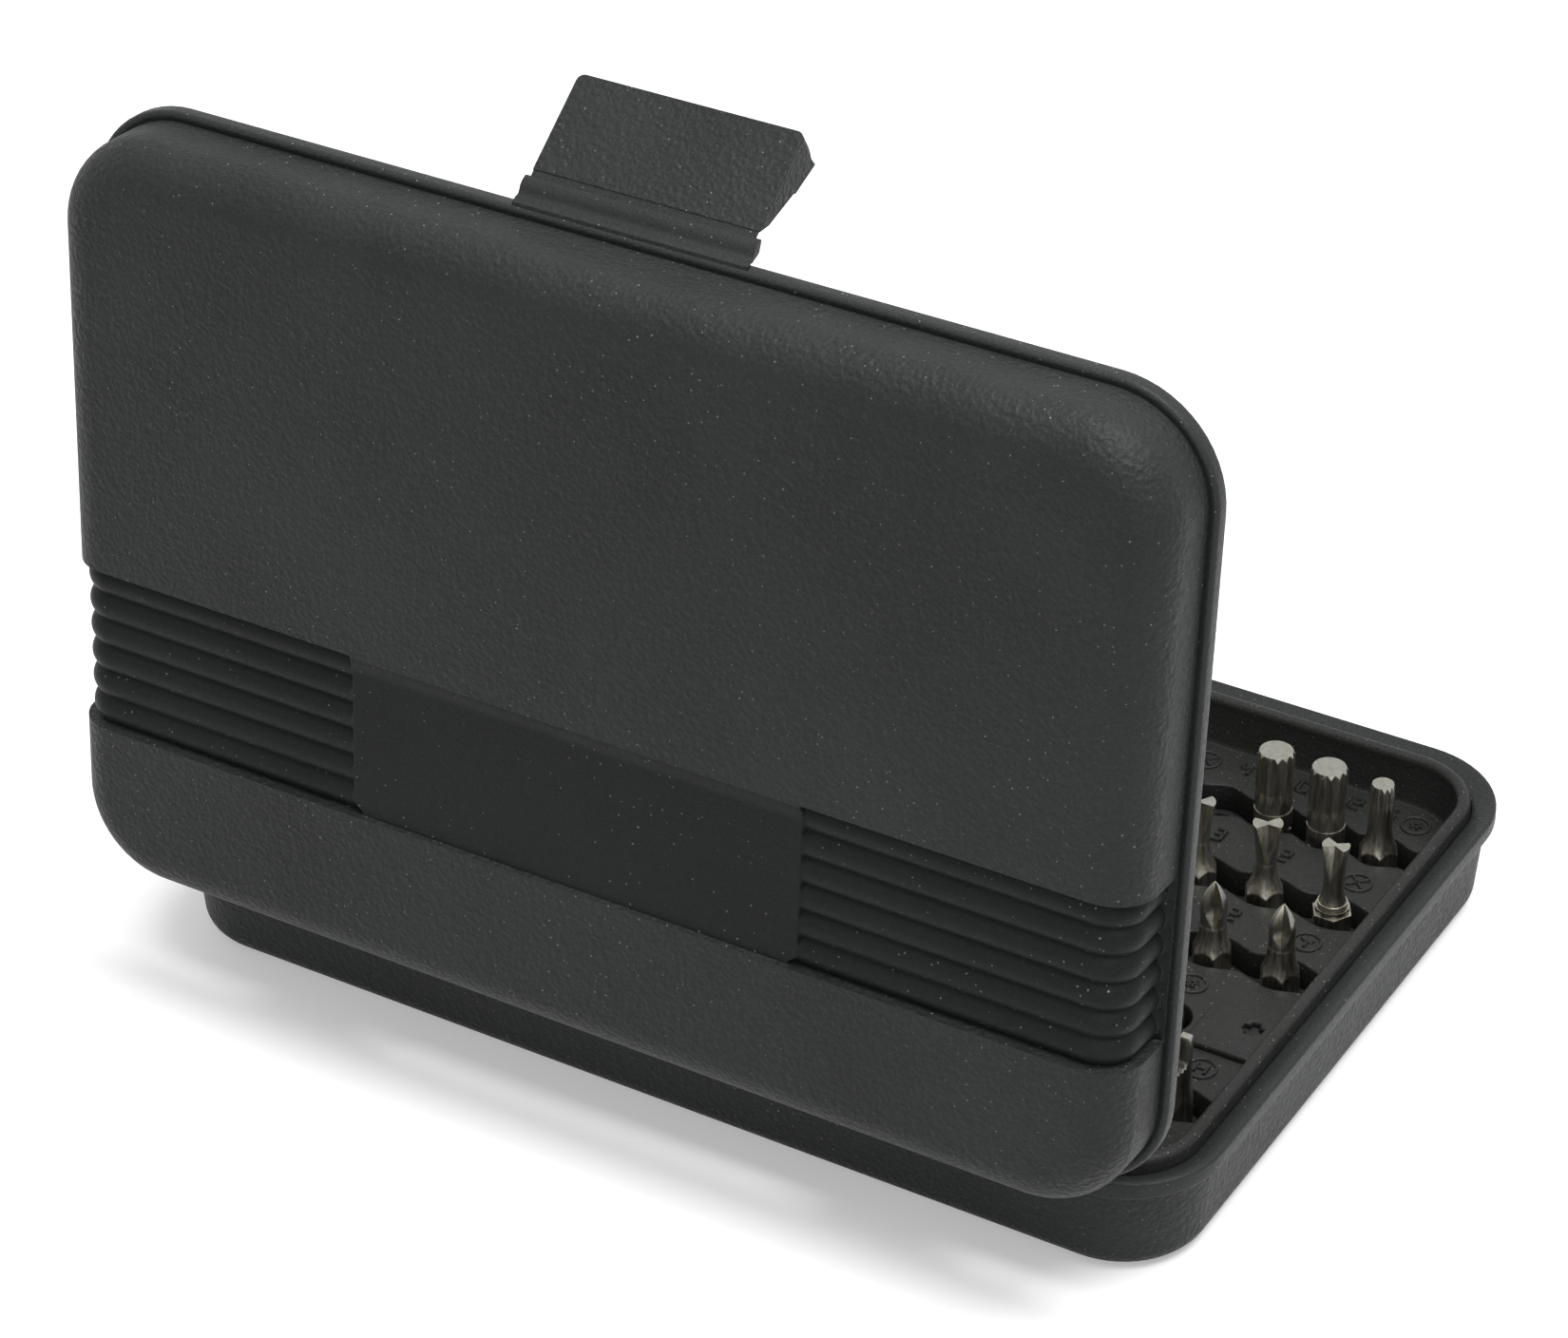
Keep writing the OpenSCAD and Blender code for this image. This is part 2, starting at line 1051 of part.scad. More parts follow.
module adapter_ball() {
  color(steel_dark) {
    lying(adapter_x, adapter_collar_r) {
      translate([-hex_flats / 2, 0, adapter_hex + adapter_collar + adapter_square / 2]) {
        sphere(ball_r, $fn = 24);
      }
    }
  }
}

base_shell();
tray_insert();
hinge_pins();
lid_shell();
latch_web();
latch_strip();
latch_fold();
latch_tab();
holder_sleeve();
holder_shank();
holder_magnet();
adapter_body();
adapter_ball();
bit_spline_small();
bit_spline_large();
bit_spline_medium();
bits_spline_hidden();
bits_star_bored();
bits_star_bored_large();
bit_clutch_right();
bit_clutch_middle();
bit_clutch_left();
bits_square();
bits_spanner();
bit_three_wing_right();
bit_three_wing_left();
bits_three_wing();
bits_offset_cross();
bits_cross();
bits_hex_bored();
bits_hex();
bit_spanner_right();
bits_star();
bits_slotted();
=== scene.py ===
import math

import bmesh
import bpy
from mathutils import Matrix, Vector


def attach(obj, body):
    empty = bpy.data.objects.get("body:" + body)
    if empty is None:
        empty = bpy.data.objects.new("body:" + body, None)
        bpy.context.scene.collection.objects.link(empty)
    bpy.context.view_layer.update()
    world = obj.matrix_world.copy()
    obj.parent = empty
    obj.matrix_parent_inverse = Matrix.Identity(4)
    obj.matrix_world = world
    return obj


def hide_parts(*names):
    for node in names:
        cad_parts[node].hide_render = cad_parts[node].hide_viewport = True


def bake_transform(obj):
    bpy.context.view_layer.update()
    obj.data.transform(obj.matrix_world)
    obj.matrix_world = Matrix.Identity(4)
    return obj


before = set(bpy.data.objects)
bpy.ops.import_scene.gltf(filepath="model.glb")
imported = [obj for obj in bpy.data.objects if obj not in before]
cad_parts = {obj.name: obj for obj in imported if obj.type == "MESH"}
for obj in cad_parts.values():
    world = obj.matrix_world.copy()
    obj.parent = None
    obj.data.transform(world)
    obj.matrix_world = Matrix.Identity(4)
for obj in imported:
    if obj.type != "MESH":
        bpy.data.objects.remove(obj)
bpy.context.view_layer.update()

MM = 0.001

# Camera, fitted to the outline of the case in the photograph: place in millimetres, turn in
# degrees, lens and sensor width in millimetres.
CAMERA_MM = (-350.62, 603.99, 508.50)
CAMERA_TURN = (56.655, 0.378, -149.315)
CAMERA_LENS = 112.0
CAMERA_SENSOR = 36.0

# Case, in millimetres and degrees, as in the CAD source, latch side towards -y. The walls' places
# count from the centres of the corners, which SPAN_X and SPAN_Y give.
CASE_W, CASE_D, CORNER, WALL = 200.0, 138.4, 18.0, 16.4
SPAN_X, SPAN_Y = CASE_W / 2 - CORNER, CASE_D / 2 - CORNER
BASE_H, LID_H, FLOOR = 20.0, 17.0, 1.2
CORNER_STEPS = 14
# Lid: its top stays a hair inside the solid's, and its hollow ends at INSIDE_R and INSIDE_TOP.
LID_TOP = LID_H - 0.02
INSIDE_R, INSIDE_TOP, CEILING_DROP = 13.2, 15.2, 1.75
# Heights of the flanges: of the lid's above its rim, of the base's above the table.
RIM_H, FLANGE_Z = 3.0, 16.9
# Hinges.
AXIS_Y, AXIS_Z, LID_OPEN = 72.46, 20.755, 85.6
HINGE_X, BARREL_R, LID_BARREL, BASE_BARREL, BARREL_STEP = 55.0, 2.5, 12.0, 7.0, 9.8
# Rib band across the lid, with a bare panel in its middle.
RIB_Y, RIB_HALF, RIB_PITCH, RIB_N = 23.7, 14.55, 4.85, 6
RIB_H, GROOVE, PANEL_HALF, PANEL_DEEP = 1.2, 2.25, 41.5, 0.8
RIB_R = RIB_PITCH ** 2 / (8 * RIB_H) + RIB_H / 2
# Latch: its first bend line, the angle it rests at, the strip's length and width, and the tab's.
BEND_Y, BEND_Z, TAB_REST = -CASE_D / 2 - 0.5, 22.56, 48.7
STRIP, TAB_W, FLAP_W, FLAP_L = 5.5, 41.5, 40.0, 17.7
# Tray: its rows from the latch side, each with its first place, how many places and their pitch.
TRAY_TOP, TRENCH_Z = 12.0, 6.6
ROW_Y = (-45.8, -25.1, -5.0, 15.2, 35.2)
ROW_FIRST = (-82.2, -83.0, -82.9, -71.3, -83.0)
ROW_COUNT = (17, 14, 14, 13, 14)
ROW_PITCH = (10.25, 12.8615, 12.8538, 12.95, 12.8615)
POCKET_R, TRENCH_HALF, TRENCH_END = 4.7, 2.95, 91.55
# The pad's place, the row that starts behind it, and the place of row 0 that holds no bit.
PAD, SHORT_ROW, EMPTY_SOCKET = (-83.2, 14.7), 3, 3
# Marks on the tray: how far in front of their bit, and the radius of their rings.
MARK_Y, MARK_R = -9.9, 2.5

# Bits, with heights above the floor of their sockets: the shank, its neck, where the drive ends,
# wings and domes begin, and LEVELS, the rings of points that every bit has.
HEX_FLATS = 6.35
HEX_R = HEX_FLATS / 2 / math.cos(math.radians(30))
BIT_TOP, NECK_Z, NECK_END, NECK_R = 25.0, 10.9, 16.5, 3.72
DRIVE_Z, WING_Z, DOME_Z, THIN = 17.4, 16.8, 20.4, 1.85
SPLINE_EDGE, WORN_Z, PRONG_Z = 24.1, 22.4, 22.8
COLLAR_Z, RING_R, RINGS_END = 11.4, 2.4, 13.4
LEVELS = (
    0, 0.4, 0.8, 4, 8, 10, 10.9, 11.05, 11.2, 11.39, 11.41, 11.6, 11.8, 12.0, 12.2, 12.4, 12.41,
    12.64, 12.66, 13.0, 13.34, 13.36, 13.41, 13.8, 14.2, 14.6, 15.0, 15.4, 15.8, 16.2, 16.5,
    16.81, 17.0, 17.01, 17.4, 17.41, 17.8, 18.2, 18.7, 19.2, 19.8, 20.4, 21.0, 21.6, 22.2, 22.8,
    23.3, 23.8, 24.1, 24.25, 24.4, 24.6, 24.7, 24.85, 25.0,
)

# Distances in metres below which points are merged and faces dropped.
MERGE, DROP = 0.000004, 0.000002


def share(v, a, b):
    """How far v is from a to b, held between nought and one."""
    return min(1.0, max(0.0, (v - a) / (b - a)))


def smooth(a, b, v):
    """A soft step from nought at a to one at b."""
    t = share(v, a, b)
    return t * t * (3 - 2 * t)


# ---------------------------------------------------------------- materials
class Nodes:
    """Short names for building a material's nodes."""

    def __init__(self, name):
        self.mat = bpy.data.materials.new(name)
        self.mat.use_nodes = True
        self.tree = self.mat.node_tree
        self.bsdf = self.tree.nodes["Principled BSDF"]
        self.coord = self.add("ShaderNodeTexCoord").outputs["Object"]

    def add(self, kind, **values):
        node = self.tree.nodes.new(kind)
        for key, value in values.items():
            setattr(node, key, value)
        return node

    def link(self, a, b):
        self.tree.links.new(a, b)

    def noise(self, scale, detail=3.0, rough=0.5, vector=None):
        node = self.add("ShaderNodeTexNoise")
        node.inputs["Scale"].default_value = scale
        node.inputs["Detail"].default_value = detail
        node.inputs["Roughness"].default_value = rough
        self.link(vector or self.coord, node.inputs["Vector"])
        return node.outputs["Fac"]

    def voronoi(self, scale):
        node = self.add("ShaderNodeTexVoronoi", feature="F1")
        node.inputs["Scale"].default_value = scale
        self.link(self.coord, node.inputs["Vector"])
        return node.outputs["Distance"]

    def stretch(self, scale):
        node = self.add("ShaderNodeMapping")
        node.inputs["Scale"].default_value = scale
        self.link(self.coord, node.inputs["Vector"])
        return node.outputs["Vector"]

    def ramp(self, fac, stops):
        node = self.add("ShaderNodeValToRGB")
        while len(node.color_ramp.elements) < len(stops):
            node.color_ramp.elements.new(0.5)
        for element, (place, colour) in zip(node.color_ramp.elements, stops):
            element.position = place
            element.color = (*colour, 1)
        self.link(fac, node.inputs["Fac"])
        return node.outputs["Color"]

    def math(self, kind, a, b):
        node = self.add("ShaderNodeMath", operation=kind)
        for socket, value in zip(node.inputs, (a, b)):
            if isinstance(value, (int, float)):
                socket.default_value = value
            else:
                self.link(value, socket)
        return node.outputs[0]

    def mix(self, fac, a, b):
        node = self.add("ShaderNodeMix", data_type="RGBA")
        sockets = (node.inputs[0], node.inputs[6], node.inputs[7])
        for socket, value in zip(sockets, (fac, a, b)):
            if isinstance(value, (int, float)):
                socket.default_value = value
            elif isinstance(value, tuple):
                socket.default_value = (*value, 1)
            else:
                self.link(value, socket)
        return node.outputs[2]

    def bump(self, height, distance, after=None):
        node = self.add("ShaderNodeBump")
        node.inputs["Distance"].default_value = distance
        node.inputs["Strength"].default_value = 1.0
        self.link(height, node.inputs["Height"])
        if after is not None:
            self.link(after, node.inputs["Normal"])
        return node.outputs["Normal"]

    def set(self, name, value):
        if isinstance(value, (int, float)):
            self.bsdf.inputs[name].default_value = value
        else:
            self.link(value, self.bsdf.inputs[name])


DUST_TONE = (0.22, 0.22, 0.2)
FINE_SCALE, FINE_DEPTH, STREAK_DEPTH = 2300.0, 0.00003, 0.00002


def plastic(name, dark, light, rough, grain_scale, grain_depth, dust=(560.0, 0.15), sheen=0.16):
    """Black moulded plastic with a pebbled grain.

    dust is how close together and how large its small specks are; a few larger ones are added.
    """
    n = Nodes(name)
    cloud = n.noise(26.0, 4.0, 0.6)
    tone = n.ramp(cloud, ((0.3, dark), (0.72, light)))
    fine = n.noise(FINE_SCALE, 2.0, 0.6)
    tone = n.mix(n.math("MULTIPLY", n.math("SUBTRACT", fine, 0.42), 0.9), tone,
                 tuple(2.4 * c for c in light))
    seen = n.noise(38.0, 2.0)
    for scale, limit, weight in ((*dust, 0.6), (190.0, 0.05, 0.9)):
        spot = n.math("LESS_THAN", n.voronoi(scale), n.math("MULTIPLY", seen, limit))
        tone = n.mix(n.math("MULTIPLY", spot, weight), tone, DUST_TONE)
    n.set("Base Color", tone)
    n.set("Roughness", n.ramp(n.noise(900.0, 3.0), (
        (0.3, (rough - 0.06,) * 3), (0.75, (rough + 0.08,) * 3))))
    n.set("Specular IOR Level", sheen)
    pebble = n.noise(grain_scale, 2.0, 0.45)
    cells = n.voronoi(grain_scale * 1.15)
    height = n.math("ADD", pebble, n.math("MULTIPLY", cells, 0.5))
    n.set("Normal", n.bump(fine, FINE_DEPTH, n.bump(height, grain_depth)))
    return n.mat


def metal(name, dark, light, rough, grain=(300, 300, 25)):
    """Steel with fine streaks, stretched the way that grain says."""
    n = Nodes(name)
    streak = n.noise(6.0, 4.0, 0.6, n.stretch(grain))
    cloud = n.noise(180.0, 3.0)
    tone = n.mix(n.math("MULTIPLY", cloud, 0.6), n.ramp(streak, (
        (0.3, dark), (0.7, light))), dark)
    n.set("Base Color", tone)
    n.set("Metallic", 1.0)
    n.set("Roughness", n.ramp(streak, (
        (0.25, (rough - 0.07,) * 3), (0.8, (rough + 0.1,) * 3))))
    n.set("Normal", n.bump(streak, STREAK_DEPTH))
    return n.mat


CASE_MAT = plastic("case_plastic", (0.0125, 0.0139, 0.0132), (0.0215, 0.0238, 0.0228),
                   0.5, 950.0, 0.00029)
BAND_MAT = plastic("band_plastic", (0.0150, 0.0168, 0.0163), (0.022, 0.0244, 0.0238),
                   0.42, 1700.0, 0.00008)
RIB_MAT = plastic("rib_plastic", (0.0072, 0.0081, 0.0078), (0.0110, 0.0124, 0.0119),
                  0.46, 1700.0, 0.00006, sheen=0.1)
TRAY_MAT = plastic("tray_plastic", (0.0120, 0.0130, 0.0118), (0.020, 0.0212, 0.0196),
                   0.46, 1500.0, 0.00008, dust=(820.0, 0.21))
BIT_MAT = metal("bit_steel", (0.26, 0.245, 0.21), (0.62, 0.59, 0.52), 0.34)
END_MAT = metal("bit_end_steel", (0.26, 0.255, 0.222), (0.38, 0.372, 0.325), 0.45,
                (200, 200, 200))
PIN_MAT = metal("pin_steel", (0.26, 0.26, 0.27), (0.44, 0.44, 0.45), 0.3)


# ---------------------------------------------------------------- mesh helpers
def add_object(name, data):
    obj = bpy.data.objects.new(name, data)
    bpy.context.scene.collection.objects.link(obj)
    return obj


def make(name, verts, faces, mats, marks=None, angle=35.0, matrix=None):
    """An object from points in millimetres, merged and with its normals outside."""
    mesh = bpy.data.meshes.new(name)
    mesh.from_pydata([Vector(v) * MM for v in verts], [], faces)
    for mat in mats:
        mesh.materials.append(mat)
    if marks:
        for poly, index in zip(mesh.polygons, marks):
            poly.material_index = index
    work = bmesh.new()
    work.from_mesh(mesh)
    bmesh.ops.remove_doubles(work, verts=work.verts, dist=MERGE)
    bmesh.ops.dissolve_degenerate(work, edges=work.edges, dist=DROP)
    bmesh.ops.recalc_face_normals(work, faces=work.faces)
    work.to_mesh(mesh)
    work.free()
    if matrix is not None:
        mesh.transform(matrix)
    obj = add_object(name, mesh)
    shade(obj, angle)
    return obj


def select(objs):
    for other in bpy.context.selected_objects:
        other.select_set(False)
    for obj in objs:
        obj.select_set(True)
    bpy.context.view_layer.objects.active = objs[0]


def shade(obj, angle):
    """Smooth faces, with edges sharper than angle kept sharp."""
    select([obj])
    bpy.ops.object.shade_smooth_by_angle(angle=math.radians(angle), keep_sharp_edges=True)


def evaluated_mesh(obj):
    graph = bpy.context.evaluated_depsgraph_get()
    return bpy.data.meshes.new_from_object(obj.evaluated_get(graph))


def bevel(obj, width):
    mod = obj.modifiers.new("bevel", "BEVEL")
    mod.width = width * MM
    mod.segments = 3
    mod.limit_method = "ANGLE"
    mod.angle_limit = math.radians(30.0)
    mod.harden_normals = False
    mesh = evaluated_mesh(obj)
    obj.modifiers.clear()
    obj.data = mesh


def join(objs, name):
    select(objs)
    bpy.ops.object.join()
    objs[0].name = name
    objs[0].data.name = name
    return objs[0]


def lid_matrix():
    """Turns the shut lid about the hinge to its open place."""
    centre = Vector((0, AXIS_Y, AXIS_Z)) * MM
    return (Matrix.Translation(centre) @ Matrix.Rotation(math.radians(-LID_OPEN), 4, "X")
            @ Matrix.Translation(-centre))


LID = lid_matrix()


def sides(xs, ys):
    """Stations round the case: a foot on the rectangle of corner centres and a direction."""
    out = []
    corners = ((1, 1, 0), (-1, 1, 90), (-1, -1, 180), (1, -1, 270))
    for k, (sx, sy, start) in enumerate(corners):
        for i in range(CORNER_STEPS + 1):
            a = math.radians(start + 90.0 * i / CORNER_STEPS)
            out.append((sx * SPAN_X, sy * SPAN_Y, math.cos(a), math.sin(a)))
        if k == 0:
            out += [(x, SPAN_Y, 0, 1) for x in reversed(xs[1:-1])]
        elif k == 1:
            out += [(-SPAN_X, y, -1, 0) for y in reversed(ys[1:-1])]
        elif k == 2:
            out += [(x, -SPAN_Y, 0, -1) for x in xs[1:-1]]
        else:
            out += [(SPAN_X, y, 1, 0) for y in ys[1:-1]]
    return out


def spread(low, high, step):
    """Even values from low to high, about a step apart."""
    n = max(1, round((high - low) / step))
    return [low + (high - low) * i / n for i in range(n + 1)]


def sweep(profile, xs, ys, closed=False, fills=(), shift=None):
    """Carries a profile of (distance from the corner centres, height) round the case.

    fills closes the flat middle at the rings it names, which face up or down. shift gives a
    point's new place from its place and the profile's outward normal there.
    """
    stations = sides(xs, ys)
    normals = []
    for i, (r, z) in enumerate(profile):
        a = profile[i - 1] if i or closed else profile[i]
        b = profile[(i + 1) % len(profile)] if i + 1 < len(profile) or closed else profile[i]
        dr, dz = b[0] - a[0], b[1] - a[1]
        size = math.hypot(dr, dz) or 1
        normals.append((dz / size, -dr / size))
    verts, faces = [], []
    count = len(stations)
    for (r, z), (nr, nz) in zip(profile, normals):
        for bx, by, dx, dy in stations:
            point = (bx + dx * r, by + dy * r, z)
            if shift:
                point = shift(point, (dx * nr, dy * nr, nz))
            verts.append(point)
    rings = len(profile)
    for i in range(rings if closed else rings - 1):
        j = (i + 1) % rings
        for k in range(count):
            m = (k + 1) % count
            faces.append((i * count + k, j * count + k, j * count + m, i * count + m))
    for ring, up in fills:
        z = profile[ring][1]
        start = len(verts)
        for y in ys:
            for x in xs:
                point = (x, y, z)
                if shift:
                    point = shift(point, (0, 0, up))
                verts.append(point)
        wide = len(xs)
        for j in range(len(ys) - 1):
            for i in range(wide - 1):
                a = start + j * wide + i
                faces.append((a, a + 1, a + 1 + wide, a + wide))
    return verts, faces


def arc(cx, cy, r, start, end, n):
    """Points of an arc between two angles in degrees."""
    return [(cx + r * math.cos(math.radians(start + (end - start) * i / n)),
             cy + r * math.sin(math.radians(start + (end - start) * i / n)))
            for i in range(n + 1)]


def bar(name, outline, length, centre_x, mat, width, matrix=None, corner=None):
    """A profile of (y, z) drawn out along x, with edges rounded by width.

    corner gives the outline point whose edge to the next is rounded more, and by how much.
    """
    n = len(outline)
    verts = [(centre_x - length / 2, y, z) for y, z in outline]
    verts += [(centre_x + length / 2, y, z) for y, z in outline]
    faces = [(i, (i + 1) % n, n + (i + 1) % n, n + i) for i in range(n)]
    faces += [tuple(range(n - 1, -1, -1)), tuple(range(n, 2 * n))]
    obj = make(name, verts, faces, [mat], matrix=matrix)
    if corner:
        first, radius = corner
        work = bmesh.new()
        work.from_mesh(obj.data)
        ends = ({first, first + 1}, {n + first, n + first + 1})
        chosen = [e for e in work.edges if {v.index for v in e.verts} in ends]
        bmesh.ops.bevel(work, geom=chosen, offset=radius * MM, segments=5, profile=0.5,
                        affect="EDGES")
        work.to_mesh(obj.data)
        work.free()
    if width:
        bevel(obj, width)
        shade(obj, 40.0)
    return obj


def plate(name, outlines, low, high, mat, edge):
    """A flat plate filled between closed outlines, with upper and lower edges rounded by edge."""
    curve = bpy.data.curves.new(name, "CURVE")
    curve.dimensions = "2D"
    curve.fill_mode = "BOTH"
    for outline in outlines:
        spline = curve.splines.new("POLY")
        spline.points.add(len(outline) - 1)
        for point, (x, y) in zip(spline.points, outline):
            point.co = (x * MM, y * MM, 0, 1)
        spline.use_cyclic_u = True
    curve.extrude = ((high - low) / 2 - edge) * MM
    curve.bevel_depth = edge * MM
    curve.bevel_resolution = 2
    curve.offset = -edge * MM
    temp = add_object(name, curve)
    mesh = evaluated_mesh(temp)
    bpy.data.objects.remove(temp)
    mesh.transform(Matrix.Translation((0, 0, (high + low) / 2 * MM)))
    work = bmesh.new()
    work.from_mesh(mesh)
    bmesh.ops.remove_doubles(work, verts=work.verts, dist=MERGE)
    work.to_mesh(mesh)
    work.free()
    mesh.materials.clear()
    mesh.materials.append(mat)
    obj = add_object(name, mesh)
    shade(obj, 40.0)
    return obj


def rounded(cx, cy, w, d, r, n=6):
    """Outline of a rectangle with rounded corners."""
    out = []
    for sx, sy, start in ((1, 1, 0), (-1, 1, 90), (-1, -1, 180), (1, -1, 270)):
        out += arc(cx + sx * (w / 2 - r), cy + sy * (d / 2 - r), r, start, start + 90, n)
    return out


def tube(name, centre, r, length, mat, inner, edge=0.3, n=40):
    """A hinge barrel along x with a bore of radius inner."""
    cx, cy, cz = centre
    half = length / 2
    profile = [(half - edge, r), (half, r - edge), (half, inner), (-half, inner),
               (-half, r - edge), (-half + edge, r)]
    verts, faces = [], []
    m = len(profile)
    for k in range(n):
        a = 2 * math.pi * k / n
        verts += [(cx + x, cy + rr * math.cos(a), cz + rr * math.sin(a)) for x, rr in profile]
    for k in range(n):
        j = (k + 1) % n
        for i in range(m):
            faces.append((k * m + i, k * m + (i + 1) % m, j * m + (i + 1) % m, j * m + i))
    return make(name, verts, faces, [mat])


# ---------------------------------------------------------------- lid
def rib_depth(x, y):
    """Depth of the lid's surface below its plain form inside the rib band."""
    low, away = RIB_Y - RIB_HALF, abs(y - RIB_Y)
    inside = 1 - smooth(RIB_HALF, RIB_HALF + 0.3, away)
    if inside <= 0:
        return 0.0
    place = (y - low) % RIB_PITCH - RIB_PITCH / 2
    if away > RIB_HALF - 0.001:
        place = RIB_PITCH / 2
    rise = math.sqrt(RIB_R ** 2 - place ** 2) - (RIB_R - RIB_H)
    ribs = GROOVE - max(rise, 0.1)
    notch = 1.6 * smooth(RIB_HALF - 2.2, RIB_HALF, y - RIB_Y)
    at_panel = 1 - smooth(PANEL_HALF - notch - 0.1, PANEL_HALF - notch + 0.5, abs(x))
    flat = PANEL_DEEP * smooth(low - 0.2, low + 3.0, y)
    return inside * (flat * at_panel + ribs * (1 - at_panel))


def lid_shift(point, normal):
    """Cuts the rib band into the lid's outside, and lowers its ceiling under the band."""
    x, y, z = point
    height = z - BASE_H
    in_plan = abs(x) - SPAN_X <= INSIDE_R and abs(y) - SPAN_Y <= INSIDE_R
    if in_plan and height <= INSIDE_TOP:
        drop = CEILING_DROP * (1 - smooth(RIB_HALF + 1, RIB_HALF + 3, abs(y - RIB_Y)))
        return (x, y, z - drop * smooth(9.0, 12.5, height))
    if height < RIM_H - 0.1:
        return point
    deep = rib_depth(x, y) * smooth(RIM_H, RIM_H + 0.6, height)
    return (x - normal[0] * deep, y - normal[1] * deep, z - normal[2] * deep)


def lid_shell():
    """The lid, shut in its own frame and then turned open."""
    top_r = 7.4
    inside = [(0, 14.8), (4, 14.8), (9, 14.8)] + arc(10.5, 12.3, 2.5, 90, 0, 5)
    inside += [(13, 10), (13, 8), (13, 4), (13, 2.05), (13.15, 1.8), (13.9, 1.8)]
    rim = [(13.9, 0.25), (14.15, 0), (15.5, 0), (17.0, 0)] + arc(17.35, 0.65, 0.65, -90, 0, 4)
    rim += [(18, 1.5)] + arc(17.2, 2.25, 0.8, 0, 90, 6)
    rim += [(16.9, 3.02), (16.6, 2.92), (WALL + 0.02, 2.86)]
    outside = [(WALL, z) for z in (3.1, 3.4, 3.8, 5.5, 7.5)]
    outside += arc(WALL - top_r, LID_TOP - top_r, top_r, 0, 90, 18)
    outside += [(r, LID_TOP) for r in (6, 3, 0)]
    profile = [(r, z + BASE_H) for r, z in inside + rim + outside]
    low, high = RIB_Y - RIB_HALF, RIB_Y + RIB_HALF
    band = [low - 0.5, low - 0.3, low - 0.2, low - 0.1]
    band += [low + RIB_PITCH * i / 16 for i in range(16 * RIB_N + 1)]
    band += [high + 0.1, high + 0.2, high + 0.3, high + 0.5]
    ys = spread(-SPAN_Y, low - 2, 6) + band + spread(high + 2, SPAN_Y, 5)
    edge = spread(PANEL_HALF - 2.4, PANEL_HALF + 1.2, 0.2)
    outer = spread(edge[-1], SPAN_X, 6)
    xs = ([-v for v in reversed(outer)][:-1] + [-v for v in reversed(edge)]
          + spread(-edge[0], edge[0], 6)[1:-1] + edge + outer[1:])
    fills = ((0, -1), (len(profile) - 1, 1))
    verts, faces = sweep(profile, xs, ys, fills=fills, shift=lid_shift)
    marks = []
    for face in faces:
        y, z = (sum(verts[i][k] for i in face) / len(face) for k in (1, 2))
        on_flange = z < BASE_H + RIM_H + 0.1
        marks.append(1 if on_flange else 2 if abs(y - RIB_Y) < RIB_HALF else 0)
    return make("lid_body", verts, faces, [CASE_MAT, BAND_MAT, RIB_MAT], marks, 32.0, LID)


def hinge(side, body):
    """The barrels and arms that the base or the lid carries at one hinge."""
    parts = []
    x, back = side * HINGE_X, CASE_D / 2
    if body == "lid":
        arm = [(back - 0.4, 20.6), (back - 0.4, 22.4), (AXIS_Y - 0.6, AXIS_Z + 2.35),
               (AXIS_Y - 1.35, AXIS_Z + 0.6), (AXIS_Y - 1.35, AXIS_Z - 0.3), (back, 20.35)]
        heel = [(AXIS_Y + 1.3, AXIS_Z + 0.1), (AXIS_Y + 2.85, AXIS_Z - 0.35),
                (AXIS_Y + 2.65, AXIS_Z - 3.25), (AXIS_Y + 0.75, AXIS_Z - 3.1),
                (AXIS_Y + 0.3, AXIS_Z - 1.35)]
        parts.append(tube("barrel", (x, AXIS_Y, AXIS_Z), BARREL_R, LID_BARREL, CASE_MAT, 1.2))
        parts.append(bar("arm", arm, LID_BARREL, x, CASE_MAT, 0.15))
        parts.append(bar("heel", heel, LID_BARREL, x, CASE_MAT, 0.15))
        for part in parts:
            part.data.transform(LID)
    else:
        arm = [(back - 0.5, 17.4), (back - 0.5, 19.5), (back, 19.8),
               (AXIS_Y - 1.4, 19.8), (AXIS_Y - 0.9, AXIS_Z - 2.4), (AXIS_Y - 1.8, 17.4)]
        for place in (x - BARREL_STEP, x + BARREL_STEP):
            parts.append(tube("barrel", (place, AXIS_Y, AXIS_Z), BARREL_R, BASE_BARREL, CASE_MAT,
                              1.15))
            parts.append(bar("arm", arm, BASE_BARREL, place, CASE_MAT, 0.15))
    return parts


# ---------------------------------------------------------------- base and tray
def base_shell():
    """The base: its hollow, its sloping rim flange, its wall and its underside."""
    profile = [(0, FLOOR), (6, FLOOR), (11.8, FLOOR), (11.8, 4), (13.75, 4), (13.75, 12)]
    profile += [(13.75, 18.3), (13.85, 18.6), (14.1, 18.8), (14.6, 18.98), (15.3, 19.25)]
    profile += [(16.1, 19.58), (16.8, 19.84)] + arc(17.45, 19.45, 0.55, 100, 0, 6)
    profile += [(18, 18.3)] + arc(17.5, 17.44, 0.5, 0, -90, 6)
    profile += [(16.9, FLANGE_Z), (16.62, 16.7), (16.42, 16.35), (16.32, 15.8), (16.24, 15.0)]
    profile += [(16.1, 13.5), (15.85, 10.5), (15.55, 7)]
    profile += arc(11.3, 4, 4, 0, -90, 8) + [(8, 0), (0, 0)]
    xs, ys = spread(-SPAN_X, SPAN_X, 8), spread(-SPAN_Y, SPAN_Y, 8)
    verts, faces = sweep(profile, xs, ys, fills=((0, 1), (len(profile) - 1, -1)))
    marks = []
    for face in faces:
        z = sum(verts[i][2] for i in face) / len(face)
        marks.append(0 if z < FLANGE_Z else 1)
    return make("base_body", verts, faces, [CASE_MAT, BAND_MAT], marks, 32.0)


